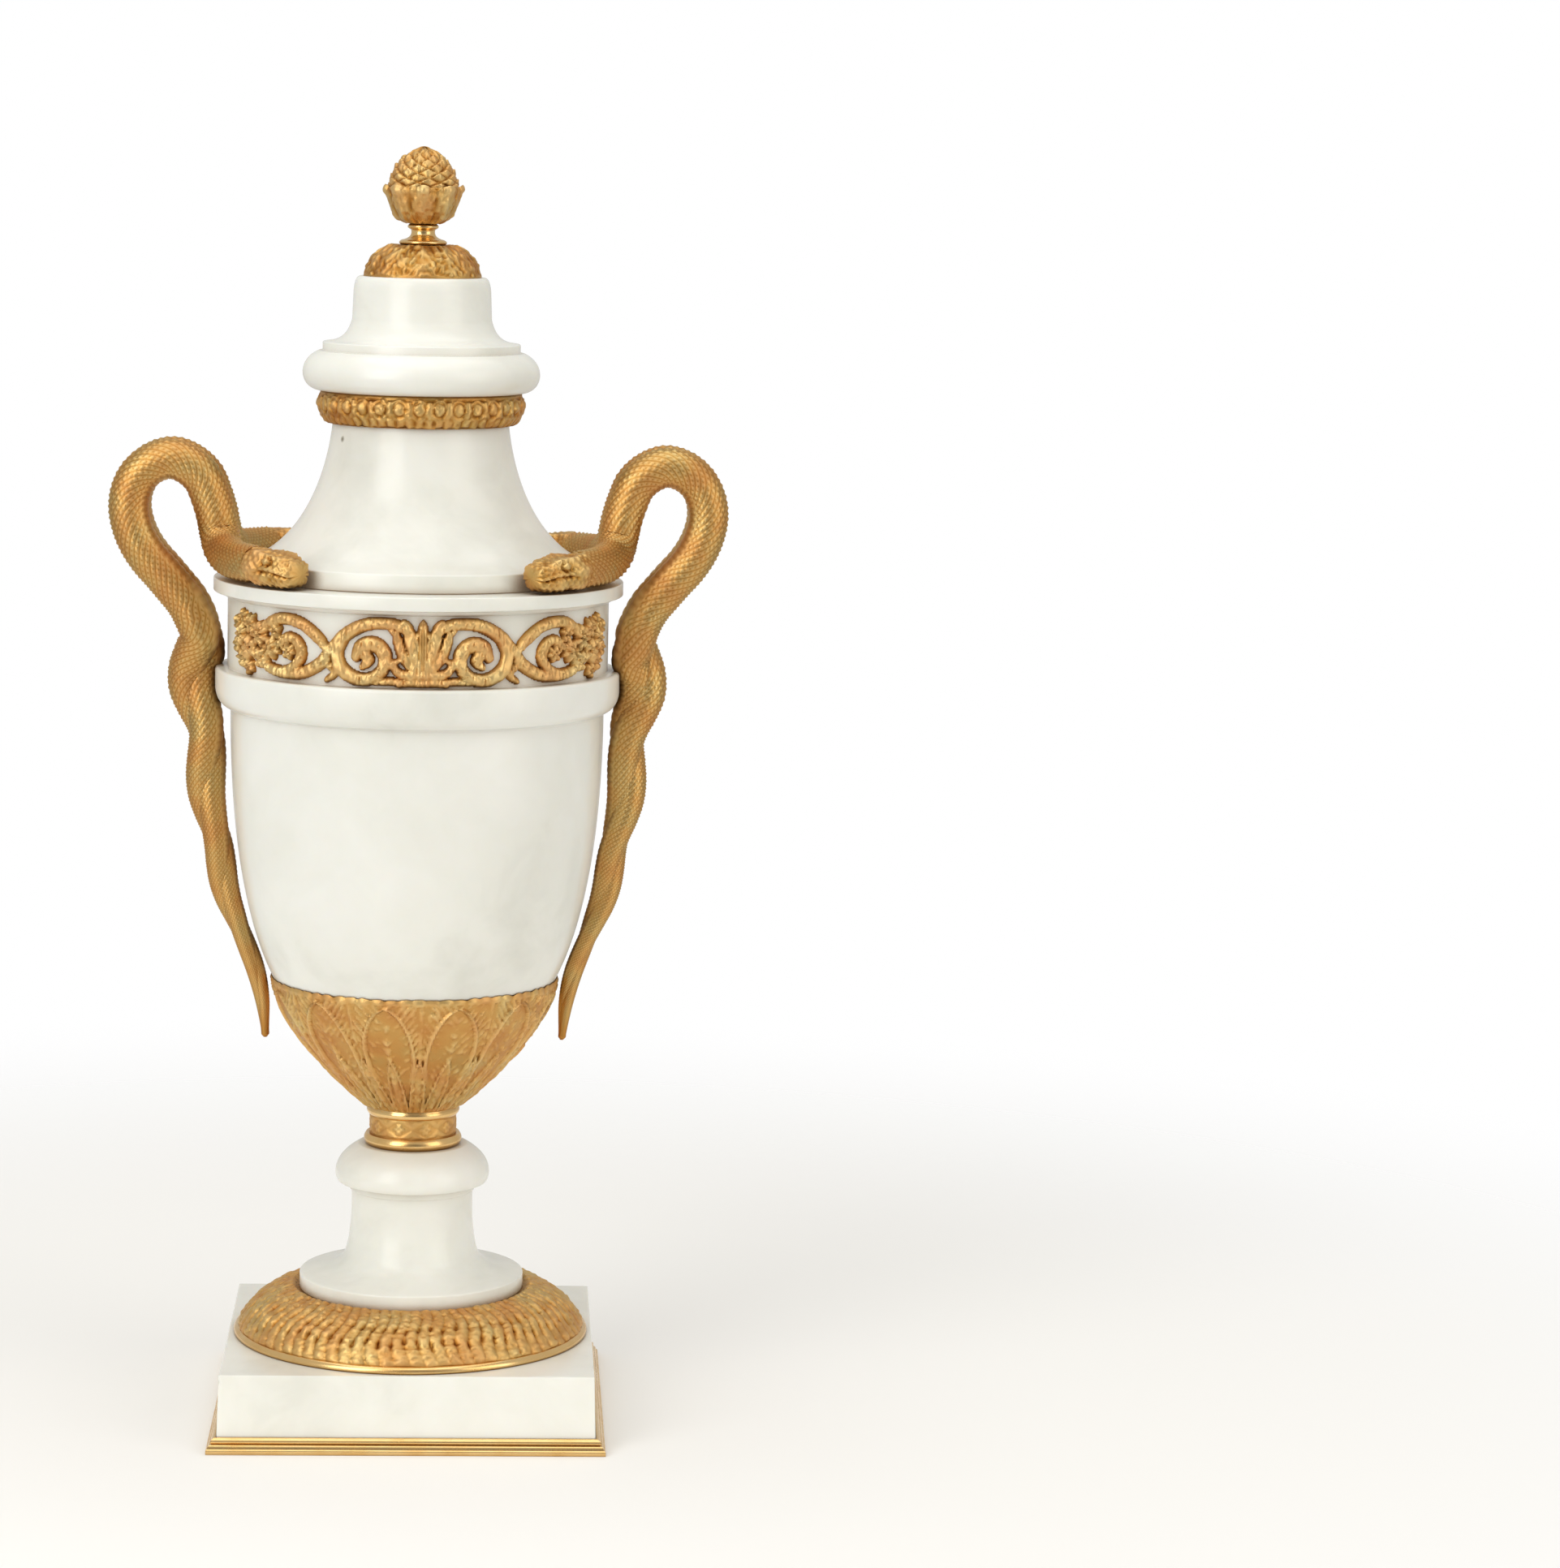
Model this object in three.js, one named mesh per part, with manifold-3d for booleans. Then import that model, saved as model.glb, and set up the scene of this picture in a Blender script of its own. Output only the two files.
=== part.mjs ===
// A lidded white marble vase with gilt bronze mounts and two handles of entwined serpents,
// on its square plinth. Millimetres, +Z up, the front towards -Y, the handles along X,
// z = 0 under the plinth. Heights are measured from there, radii from the vase's axis.
import * as THREE from 'three';
import { mergeVertices } from 'three/addons/utils/BufferGeometryUtils.js';
import Module from 'manifold-3d';

const wasm = await Module();
wasm.setup();

// Levels where one piece stands on the next
const plinthTop = 27.2;
const footSeat = 43.6;
const footTop = 96;
const collarTop = 110;
const bodySeat = 113.5;
const cupRim = 156.5;
const bodyTop = 299.1;
const bandFoot = 353.4;
const neckTop = 364.9;
const lidTop = 404.8;
const capTop = 415.8;
const finialTop = 450;

// Main radii and sides
const plinthSide = 131.7;
const plinthTopSide = 130.1;
const trimSide = 138.5;
const trimHeight = 5.5;
const ringRadius = 63.2;
const footRadius = 40;
const collarRadius = 17.2;
const rimRadius = 50.8;
const bowlRadius = 65.8;
const drumRadius = 67;
const drumFoot = 267.5;
const middleFlange = 71.3;
const topFlange = 72;
const neckBase = 60;
const neckRadius = 31;
const neckBore = 24.5;
const wall = 9.5;
const clearance = 0.3;

// Roundness of the turned pieces, and how many leaves or beads each mount has
const turnSteps = 26;
const cupLeaves = 12;
const ringLeaves = 24;
const bandBeads = 24;
const capLeaves = 12;
const coneLeaves = 8;

// The scroll plaque on the drum, whose middle stands a little to the right of the front
const friezeTurn = 2.2;
const friezeRelief = 2.6;
const strapHalf = 2.2;
const bossFlat = 0.45;

// The serpents: their thickness in the loop, and the twist of the pair below it
const snakeRadius = 6.6;
const loopGap = 6.5;
const twistFoot = 278;
const twistPerMm = 5.1;
const tailTip = 133;
const twistTop = 262;
const loopStart = 285;
const snakeSides = 6;
const snakeRings = 31;

const marble = new THREE.MeshStandardMaterial({ color: '#ddd8c8', roughness: 0.28, metalness: 0 });
const gilt = new THREE.MeshStandardMaterial({ color: '#b8893a', roughness: 0.38, metalness: 1 });
const burnished = new THREE.MeshStandardMaterial({ color: '#cfa04c', roughness: 0.2, metalness: 1 });

const vase = new THREE.Group();

function add(name, geometry, material) {
  const mesh = new THREE.Mesh(geometry, material);
  mesh.name = name;
  vase.add(mesh);
  return mesh;
}

// Solid of revolution about Z from a path of (radius, height), its curves in the given steps
function turned(path, sides = turnSteps, curveSteps = 3, start = 0) {
  const geometry = new THREE.LatheGeometry(path.getPoints(curveSteps), sides, start);
  return geometry.rotateX(Math.PI / 2);
}

// Moves every vertex of a turned piece outward by relief(angle, radius, height, row), where the
// row counts the points of the outline
function carve(geometry, relief) {
  const place = geometry.attributes.position;
  const rows = geometry.parameters.points.length;
  for (let i = 0; i < place.count; i++) {
    const x = place.getX(i);
    const y = place.getY(i);
    const radius = Math.hypot(x, y);
    if (radius < 1) continue;
    const grow = 1 + relief(Math.atan2(y, x), radius, place.getZ(i), i % rows) / radius;
    place.setXY(i, x * grow, y * grow);
  }
  return geometry;
}

// Joins overlapping closed geometries into one and takes the cutters away from it
function join(geometries, cutters = []) {
  const whole = geometries.map(solid).reduce((all, next) => all.add(next));
  const mesh = cutters.map(solid).reduce((all, next) => all.subtract(next), whole).getMesh();
  const joined = new THREE.BufferGeometry();
  joined.setAttribute('position', new THREE.BufferAttribute(mesh.vertProperties, 3));
  joined.setIndex(new THREE.BufferAttribute(mesh.triVerts, 1));
  joined.computeVertexNormals();
  return joined;
}

function solid(geometry) {
  const bare = geometry.clone();
  bare.deleteAttribute('normal');
  bare.deleteAttribute('uv');
  const merged = mergeVertices(bare, 1e-4);
  return new wasm.Manifold(new wasm.Mesh({
    numProp: 3,
    vertProperties: new Float32Array(merged.attributes.position.array),
    triVerts: new Uint32Array(merged.index.array),
  }));
}

// Plinth: a square block that narrows a little, and a moulding around its foot.
// A four-sided lathe is square, with its corners at the square's half diagonal.
function squareLathe(path) {
  return turned(path, 4, 3, Math.PI / 4);
}

const corner = Math.SQRT1_2;
const plinthPath = new THREE.Path()
  .moveTo(0, 0)
  .lineTo(plinthSide * corner, 0)
  .lineTo(plinthSide * corner, trimHeight)
  .lineTo(plinthTopSide * corner, plinthTop)
  .lineTo(0, plinthTop);
add('plinth', squareLathe(plinthPath), marble);

const trimInner = plinthSide * corner;
const trimOuter = trimSide * corner;
const trimPath = new THREE.Path()
  .moveTo(trimInner, 0)
  .lineTo(trimOuter, 0)
  .lineTo(trimOuter, trimHeight * 0.25)
  .bezierCurveTo(trimOuter + 0.2, trimHeight * 0.6, trimOuter - 2, trimHeight * 0.5,
    trimOuter - 2.6, trimHeight * 0.75)
  .lineTo(trimInner + 0.6, trimHeight)
  .lineTo(trimInner, trimHeight)
  .lineTo(trimInner, 0);
add('plinth_trim', squareLathe(trimPath), burnished);

// Foot: a domed ring of leaves, the marble foot with its knop, and the collar above it
const ringBore = 32;
const ringPath = new THREE.Path()
  .moveTo(ringBore, plinthTop)
  .lineTo(ringRadius, plinthTop)
  .lineTo(ringRadius, plinthTop + 2.6)
  .quadraticCurveTo(57.5, 40.3, footRadius + 2.2, footSeat + 0.9)
  .lineTo(footRadius + 0.8, footSeat)
  .lineTo(ringBore, footSeat)
  .lineTo(ringBore, plinthTop);
const ringRelief = (angle, radius, height) => {
  const onDome = radius > footRadius + 1 && height > plinthTop + 3;
  return onDome ? 0.9 * Math.cos(ringLeaves * angle) : 0;
};
add('foot_ring', carve(turned(ringPath, 2 * ringLeaves), ringRelief), gilt);

const footPath = new THREE.Path()
  .moveTo(0, footSeat)
  .lineTo(footRadius, footSeat)
  .lineTo(footRadius, 49)
  .bezierCurveTo(35, 50.6, 25.5, 50.4, 23.6, 57)
  .quadraticCurveTo(21.7, 63.5, 21.6, 74)
  .lineTo(21.6, 79.5)
  .lineTo(22.4, 79.5)
  .lineTo(22.4, 82.5)
  .lineTo(26.6, 82.5)
  .bezierCurveTo(28.8, 86, 27.2, 92, 19.4, footTop)
  .lineTo(0, footTop);
add('foot', turned(footPath), marble);

const collarPath = new THREE.Path()
  .moveTo(0, footTop)
  .lineTo(collarRadius - 0.6, footTop)
  .quadraticCurveTo(collarRadius + 0.8, footTop + 2, collarRadius - 0.6, footTop + 4)
  .lineTo(collarRadius - 1.8, footTop + 4.6)
  .lineTo(collarRadius - 1.8, footTop + 10.2)
  .lineTo(collarRadius - 1, footTop + 10.6)
  .lineTo(collarRadius - 1, collarTop)
  .lineTo(0, collarTop);
add('collar', turned(collarPath, 18, 2), gilt);

// Cup of leaves: the same curve outside and, moved inward, inside and on the body's underside
function cupCurve(path, inset) {
  return path
    .lineTo(16.2 - inset, collarTop + inset * 0.9)
    .bezierCurveTo(27.2 - inset, 119 + inset * 0.6, 48 - inset, 138.5, rimRadius - inset, cupRim);
}

const cupWall = 2.2;
const cupSteps = 3;
const outerCup = cupCurve(new THREE.Path().moveTo(0, collarTop), 0).getPoints(6);
const innerCup = cupCurve(new THREE.Path().moveTo(0, bodySeat), cupWall).getPoints(cupSteps);
const cupOutline = new THREE.Path([...outerCup, ...innerCup.reverse()]);

// A leaf is raised between its two sides, which meet in a point below the rim
function leafRelief(angle, radius, height, row) {
  const along = (height - collarTop) / (cupRim - collarTop);
  const outside = row > 1 && row < outerCup.length - 1;
  if (!outside) return 0;
  const turn = angle * cupLeaves / (2 * Math.PI) + 0.5;
  const fromMiddle = 2 * Math.abs(turn - Math.round(turn));
  const halfWidth = 1.05 * Math.sqrt(Math.max(0, 0.96 - along));
  return fromMiddle < halfWidth ? 0.9 : -0.4;
}
const cupGeometry = new THREE.LatheGeometry(cupOutline.getPoints(), 3 * cupLeaves);
add('cup', carve(cupGeometry.rotateX(Math.PI / 2), leafRelief), gilt);

// Body: a hollow bowl under a drum between two flanges, open at the top
const bodySkin = cupCurve(new THREE.Path().moveTo(0, bodySeat), cupWall + clearance).getPoints(cupSteps);
const bodyPath = new THREE.Path()
  .moveTo(rimRadius - cupWall - clearance, cupRim)
  .lineTo(rimRadius - 0.6, cupRim)
  .bezierCurveTo(59.6, 175, 65.9, 206, bowlRadius, 253)
  .quadraticCurveTo(middleFlange - 0.6, 254, middleFlange, 260)
  .lineTo(middleFlange, drumFoot - 0.6)
  .lineTo(middleFlange - 0.8, drumFoot)
  .lineTo(drumRadius, drumFoot)
  .lineTo(drumRadius, 292)
  .lineTo(topFlange, 294)
  .lineTo(topFlange, bodyTop)
  .lineTo(bowlRadius - wall, bodyTop)
  .lineTo(bowlRadius - wall, 250)
  .bezierCurveTo(bowlRadius - wall, 205, 50, 170, 24, 133)
  .lineTo(0, 128);
const bodyOutline = new THREE.Path([...bodySkin, ...bodyPath.getPoints(4)]);
add('body', new THREE.LatheGeometry(bodyOutline.getPoints(), turnSteps).rotateX(Math.PI / 2), marble);

// Neck, its beaded band and the lid, whose lip drops into the neck's bore
const neckPath = new THREE.Path()
  .moveTo(neckBore, neckTop)
  .lineTo(neckBore, 335)
  .bezierCurveTo(neckBore, 318, 34, 308, 46, bodyTop)
  .lineTo(neckBase, bodyTop)
  .lineTo(neckBase, 306)
  .bezierCurveTo(45, 310.5, 34, 328, neckRadius, bandFoot - 1)
  .lineTo(neckRadius, neckTop)
  .lineTo(neckBore, neckTop);
add('neck', turned(neckPath, turnSteps, 4), marble);

const bandBore = neckRadius + clearance + 0.1;
const bandPath = new THREE.Path()
  .moveTo(bandBore, bandFoot)
  .lineTo(33.1, bandFoot)
  .bezierCurveTo(35, 355.8, 38, 359.6, 35, neckTop)
  .lineTo(bandBore, neckTop)
  .lineTo(bandBore, bandFoot);
const beadRelief = (angle, radius, height) => {
  const onBand = radius > 34 && height < neckTop - 0.5;
  return onBand ? 0.6 * Math.cos(bandBeads * angle) : 0;
};
add('neck_band', carve(turned(bandPath, 2 * bandBeads), beadRelief), gilt);

const lidLip = neckBore - 0.6;
const lidPath = new THREE.Path()
  .moveTo(0, 392)
  .lineTo(12, 390)
  .lineTo(19, 378)
  .lineTo(19, neckTop - 5)
  .lineTo(lidLip, neckTop - 5)
  .lineTo(lidLip, neckTop)
  .lineTo(36, neckTop)
  .bezierCurveTo(42.5, 365.5, 44.2, 375, 36, 378.7)
  .lineTo(34.6, 378.7)
  .lineTo(34.6, 381.8)
  .bezierCurveTo(28.5, 382.3, 26, 384, 24.4, 390)
  .lineTo(24, 400)
  .quadraticCurveTo(23.6, lidTop - 0.4, 22, lidTop)
  .lineTo(0, lidTop);
add('lid', turned(lidPath), marble);

const capPath = new THREE.Path()
  .moveTo(0, lidTop)
  .lineTo(20.6, lidTop)
  .quadraticCurveTo(19.8, 412.2, 12, capTop)
  .lineTo(0, capTop);
const capRelief = (angle, radius, height) => {
  const onDome = radius > 12.5 && height > lidTop + 0.5;
  return onDome ? 0.5 * Math.cos(capLeaves * angle) : 0;
};
add('lid_cap', carve(turned(capPath, 2 * capLeaves), capRelief), gilt);

const finialPath = new THREE.Path()
  .moveTo(0, capTop)
  .lineTo(8.3, capTop)
  .lineTo(8.3, 417.4)
  .quadraticCurveTo(3.4, 418.4, 4.2, 421)
  .lineTo(5.4, 421.4)
  .lineTo(5.2, 423.2)
  .bezierCurveTo(9.8, 424, 12, 428.2, 13.6, 435.4)
  .lineTo(12.4, 436.2)
  .bezierCurveTo(12.2, 440.8, 8, 446.8, 0, finialTop);
const coneRelief = (angle, radius, height) => {
  const onLeaves = height > 424 && height < 436.2;
  return onLeaves ? 0.6 * Math.cos(coneLeaves * angle) : 0;
};
add('finial', carve(turned(finialPath, 2 * coneLeaves), coneRelief), gilt);

// A strap of the scrollwork follows a line of (arc length, height) on the drum.
// Its section is a low ridge with its two feet on the drum.
const strapFoot = drumRadius + clearance;

function onDrum(arc, height, radius) {
  const angle = arc / drumRadius;
  return new THREE.Vector3(radius * Math.sin(angle), -radius * Math.cos(angle), height);
}

function strap(points, steps, thin = 0.5, mirror = 1) {
  const line = new THREE.SplineCurve(points.map(([arc, height]) => new THREE.Vector2(arc, height)));
  const section = [[-1, 0], [0, 1], [1, 0]];
  const corners = [];
  for (let i = 0; i <= steps; i++) {
    const along = i / steps;
    const middle = line.getPoint(along);
    const tangent = line.getTangent(along);
    const half = strapHalf * (1 - (1 - thin) * Math.abs(2 * along - 1) ** 3);
    for (const [side, rise] of section) {
      const arc = middle.x - tangent.y * side * half;
      const height = middle.y + tangent.x * side * half;
      corners.push(onDrum(mirror * arc, height, strapFoot + rise * friezeRelief));
    }
  }
  return skin(corners, section.length, mirror > 0);
}

// Closed skin over rings of equally many corners, with flat ends
function skin(corners, sides, forward = true) {
  const rings = corners.length / sides;
  const faces = [];
  const face = (a, b, c) => faces.push(...(forward ? [a, b, c] : [a, c, b]));
  for (let ring = 0; ring < rings - 1; ring++) {
    for (let side = 0; side < sides; side++) {
      const a = ring * sides + side;
      const b = ring * sides + (side + 1) % sides;
      face(a, a + sides, b);
      face(b, a + sides, b + sides);
    }
  }
  const last = (rings - 1) * sides;
  for (let side = 1; side < sides - 1; side++) {
    face(0, side, side + 1);
    face(last, last + side + 1, last + side);
  }
  const geometry = new THREE.BufferGeometry().setFromPoints(corners);
  geometry.setIndex(faces);
  return geometry;
}

// A boss of the scrollwork: a fruit or flower head that stands on the drum
function boss(arc, height, radius) {
  const ball = new THREE.SphereGeometry(radius, 6, 3).scale(1, bossFlat, 1);
  const centre = onDrum(arc, height, strapFoot + bossFlat * radius + 0.1);
  return ball.rotateZ(arc / drumRadius).translate(centre.x, centre.y, centre.z);
}

// Lines of the right half, from the middle of the plaque outward
const scrollLine = [[3, 286], [8, 289], [20, 288.6], [28, 283.5], [28.5, 275], [22, 271], [15, 275], [17.5, 281]];
const stemLine = [[27, 284.5], [32, 281.5], [38, 273.5], [49, 270.2], [58, 271.5], [65, 276]];
const ringLine = [[34, 277], [40, 284.5], [48, 288], [57, 287.6], [65, 284]];
const budLine = [[49, 271], [44.5, 276], [48.5, 281]];
const petalLine = [[1, 272], [2.5, 279], [5.5, 285], [8.5, 289.2]];
const middlePetal = [[0, 270], [0, 280], [0, 289.5]];
const footLine = [[-11.5, 269.2], [-6, 271.4], [0, 272.5], [6, 271.4], [11.5, 269.2]];
const bunch = [[49.5, 277, 5], [67.5, 284.5, 5.2], [75, 278, 5.6], [68.5, 274.5, 5.4]];

function frieze(turn) {
  const pieces = [strap(middlePetal, 2, 0.6), strap(footLine, 4, 0.5)];
  for (const mirror of [1, -1]) {
    pieces.push(strap(scrollLine, 9, 0.7, mirror));
    pieces.push(strap(stemLine, 5, 0.6, mirror));
    pieces.push(strap(ringLine, 4, 0.6, mirror));
    pieces.push(strap(budLine, 3, 0.6, mirror));
    pieces.push(strap(petalLine, 2, 0.6, mirror));
    pieces.push(...bunch.map(([arc, height, radius]) => boss(mirror * arc, height, radius)));
  }
  return join(pieces).rotateZ(turn * Math.PI / 180);
}
add('frieze_front', frieze(friezeTurn), gilt);
add('frieze_back', frieze(friezeTurn + 180), gilt);

// The handle's middle line from the tails up over the loop, as (distance from the axis, height)
const handleLine = [
  [52.8, 134], [54, 147], [56.4, 158], [62, 173], [67.3, 187], [70, 204], [74.2, 222],
  [74.4, 244], [79.4, 262], [76.2, 276], [80.2, 288], [89, 299.1], [97, 309], [101.3, 322],
  [98.4, 333.5], [88, 340], [77.4, 335.5], [72.2, 325], [69.8, 315],
];
// The head's line on the upper flange, as (turn from the handle in degrees, distance, height)
const headLine = [[9, 69, 309.5], [17, 68, 307.1], [30, 67.6, 306.5], [42, 67.6, 306.4], [53, 67.8, 305]];

// Thickness at a height: from the tail's tip up to the twist's top, and fuller from there to the loop
function snakeThickness(height, pastLoop) {
  const up = THREE.MathUtils.clamp((height - tailTip) / (twistTop - tailTip), 0.02, 1);
  const open = pastLoop ? 1 : THREE.MathUtils.smoothstep(height, twistTop, loopStart);
  return snakeRadius * THREE.MathUtils.lerp(0.18 + 0.77 * up ** 0.85, 1, open);
}

// One serpent of a pair: strand 1 is in front in the loop, strand -1 behind it
function snakeCurve(side, strand) {
  const middle = new THREE.CatmullRomCurve3(
    handleLine.map(([out, height]) => new THREE.Vector3(side * out, 0, height)), false, 'centripetal');
  const stations = 40;
  const points = [];
  for (let i = 0; i <= stations; i++) {
    const along = i / stations;
    const centre = middle.getPointAt(along);
    const tangent = middle.getTangentAt(along).negate();
    const pastLoop = along > 0.6;
    const twist = pastLoop ? 0 : Math.max(0, twistFoot - centre.z) * twistPerMm * Math.PI / 180;
    const open = pastLoop ? 1 : THREE.MathUtils.smoothstep(centre.z, twistTop, loopStart);
    const gap = THREE.MathUtils.lerp(0.32 * snakeThickness(centre.z, pastLoop), loopGap, open);
    const inPlane = new THREE.Vector3(-tangent.z, 0, tangent.x);
    const offset = inPlane.multiplyScalar(-Math.sin(twist)).add(new THREE.Vector3(0, -Math.cos(twist), 0));
    points.push(centre.addScaledVector(offset, strand * gap));
  }
  for (const [degrees, distance, height] of headLine) {
    const turn = degrees * Math.PI / 180;
    points.push(new THREE.Vector3(
      side * distance * Math.cos(turn), -strand * distance * Math.sin(turn), height));
  }
  return new THREE.CatmullRomCurve3(points, false, 'centripetal');
}

function snake(side, strand) {
  const curve = snakeCurve(side, strand);
  const total = curve.getLength();
  const headLength = 26;
  const corners = [];
  const tangentFirst = curve.getTangentAt(0);
  let across = new THREE.Vector3(0, 1, 0).addScaledVector(tangentFirst, -tangentFirst.y).normalize();
  for (let ring = 0; ring <= snakeRings; ring++) {
    const along = ring / snakeRings;
    const centre = curve.getPointAt(along);
    const tangent = curve.getTangentAt(along);
    across.addScaledVector(tangent, -across.dot(tangent)).normalize();
    const other = new THREE.Vector3().crossVectors(tangent, across);
    const toSnout = total * (1 - along);
    const pastLoop = along > 0.5;
    let radius = snakeThickness(centre.z, pastLoop);
    if (toSnout < 60) radius = THREE.MathUtils.lerp(6.4, radius, THREE.MathUtils.smoothstep(toSnout, 20, 60));
    if (toSnout < headLength) radius *= 0.62 + 0.45 * Math.sin(Math.PI * (0.12 + 0.75 * toSnout / headLength));
    for (let side = 0; side < snakeSides; side++) {
      const angle = side / snakeSides * 2 * Math.PI;
      corners.push(centre.clone()
        .addScaledVector(across, radius * Math.cos(angle))
        .addScaledVector(other, radius * Math.sin(angle)));
    }
  }
  return skin(corners, snakeSides, false);
}

// Where the casting passes the middle flange its back is cut to the flange's round
const flangeCut = new THREE.CylinderGeometry(middleFlange + 0.4, middleFlange + 0.4, 14, 64)
  .rotateX(Math.PI / 2)
  .translate(0, 0, drumFoot + clearance - 7);
add('handle_left', join([snake(-1, 1), snake(-1, -1)], [flangeCut]), gilt);
add('handle_right', join([snake(1, 1), snake(1, -1)], [flangeCut]), gilt);

export default vase;
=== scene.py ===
"""A lidded vase of white marble with gilt bronze mounts and handles of entwined serpents.

Lengths are millimetres from the vase's axis and from the plinth's underside, as in the
part's source, and become metres when a mesh is made. The front faces -Y.
"""

import math
from math import pi, radians, tau

import bmesh
import bpy
import numpy as np
from mathutils import Matrix, Vector


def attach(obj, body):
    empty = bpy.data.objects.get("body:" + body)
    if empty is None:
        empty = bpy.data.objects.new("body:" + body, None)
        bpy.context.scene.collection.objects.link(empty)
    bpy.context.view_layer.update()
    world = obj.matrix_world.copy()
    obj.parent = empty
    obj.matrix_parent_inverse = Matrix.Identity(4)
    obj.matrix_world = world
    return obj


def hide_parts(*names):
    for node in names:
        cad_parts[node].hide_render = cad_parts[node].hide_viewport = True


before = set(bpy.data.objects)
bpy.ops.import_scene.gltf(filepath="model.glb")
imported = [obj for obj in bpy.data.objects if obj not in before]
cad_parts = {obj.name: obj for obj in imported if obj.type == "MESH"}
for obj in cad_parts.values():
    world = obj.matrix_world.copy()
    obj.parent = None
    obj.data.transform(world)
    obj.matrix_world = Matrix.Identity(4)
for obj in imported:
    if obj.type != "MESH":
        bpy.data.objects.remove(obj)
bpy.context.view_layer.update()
scene = bpy.context.scene
METRE = 0.001


# Colours, nodes and meshes

def linear(hex_colour):
    """A linear colour with alpha from an sRGB hex value."""
    parts = [int(hex_colour[i:i + 2], 16) / 255 for i in (1, 3, 5)]
    return (*[p / 12.92 if p <= 0.04045 else ((p + 0.055) / 1.055) ** 2.4 for p in parts], 1)


def wire(node, sockets):
    """Gives each named socket of a node a value, or links it to another node's output."""
    for name, value in sockets.items():
        if isinstance(value, bpy.types.NodeSocket):
            node.id_data.links.new(value, node.inputs[name])
        else:
            node.inputs[name].default_value = value


def put(tree, kind, sockets=None, **settings):
    """Adds a node to a tree, sets it and wires its sockets."""
    node = tree.nodes.new(kind)
    for name, value in settings.items():
        setattr(node, name, value)
    wire(node, sockets or {})
    return node


def mapped(tree, value, low, high, first, last, **settings):
    """A value's place between `low` and `high`, carried over to between `first` and `last`."""
    return put(tree, "ShaderNodeMapRange",
               {"Value": value, "From Min": low, "From Max": high, "To Min": first, "To Max": last},
               **settings).outputs[0]


def mixed(tree, share, first, second, **settings):
    """The first colour, covered by the second one as far as `share` says."""
    return put(tree, "ShaderNodeMix", {0: share, 6: first, 7: second}, data_type="RGBA",
               **settings).outputs[2]


def noise(tree, place, scale, detail, roughness=0.5, output="Fac"):
    """Soft noise with about `scale` lumps to the metre."""
    return put(tree, "ShaderNodeTexNoise", {"Vector": place, "Scale": scale, "Detail": detail,
                                            "Roughness": roughness}).outputs[output]


def closeness(tree, reach, darkest):
    """The share of painted shade and old dirt near other surfaces, 0 to 0.75: full where only `darkest` of
    the sky is seen.
    """
    sky = put(tree, "ShaderNodeAmbientOcclusion", {"Distance": reach}, samples=4).outputs["AO"]
    return mapped(tree, sky, darkest, 0.8, 0.75, 0.0)


def ramp(tree, value, *stops):
    """The colour of a value on a ramp of stops, each a position and a hex colour."""
    node = put(tree, "ShaderNodeValToRGB", {"Fac": value})
    while len(node.color_ramp.elements) < len(stops):
        node.color_ramp.elements.new(0.5)
    for element, (position, colour) in zip(node.color_ramp.elements, stops):
        element.position = position
        element.color = linear(colour)
    return node.outputs[0]


def new_material(name):
    """A material, its tree, its shader and the place in metres that its patterns follow."""
    material = bpy.data.materials.new(name)
    material.use_nodes = True
    tree = material.node_tree
    return material, tree, tree.nodes["Principled BSDF"], put(tree, "ShaderNodeTexCoord").outputs["Object"]


def show(name, data):
    """An object in the scene that holds a mesh, a light or a camera."""
    thing = bpy.data.objects.new(name, data)
    scene.collection.objects.link(thing)
    return thing


def store(mesh, name, numbers):
    """Gives each point of a mesh a number."""
    layer = mesh.attributes.new(name, "FLOAT", "POINT")
    layer.data.foreach_set("value", np.asarray(numbers, np.float32).ravel())


def build_mesh(name, points, faces, chased=None, smooth_angle=40):
    """A mesh from points in millimetres. `chased` says how high the relief stands, 0 to 1."""
    mesh = bpy.data.meshes.new(name)
    mesh.from_pydata((np.asarray(points) * METRE).tolist(), [], faces)
    mesh.validate()
    mesh.shade_smooth()
    mesh.set_sharp_from_angle(angle=radians(smooth_angle))
    if chased is not None:
        store(mesh, "chased", chased)
    return mesh


def dress(mesh, material, slot, node):
    """Makes a piece from a finished mesh. It rides on the vase and stands for a CAD node."""
    piece = show(mesh.name, mesh)
    if material.name not in [m.name for m in mesh.materials if m]:
        mesh.materials.append(material)
    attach(piece, "root")
    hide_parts(node)


def cells(index):
    """The four corners of each cell in a grid of point numbers."""
    return np.stack([index[:-1, :-1], index[1:, :-1], index[1:, 1:], index[:-1, 1:]], -1)


# Outlines of turned work, as rows of (radius, height)

# A corner turns by more than this, in radians
CORNER = 0.35


def curve(*corners, steps):
    """A curve from the first corner to the last one, drawn towards those between them."""
    share = np.linspace(0, 1, steps + 1)[:, None]
    points = [np.array([corner], float) for corner in corners]
    while len(points) > 1:
        points = [a * (1 - share) + b * share for a, b in zip(points, points[1:])]
    return points[0]


def outline(*parts):
    """Joins points and curves into one outline and drops repeated points."""
    rows = np.vstack([np.atleast_2d(np.array(part, float)) for part in parts])
    keep = np.r_[True, np.hypot(*(rows[1:] - rows[:-1]).T) > 1e-6]
    return rows[keep]


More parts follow.
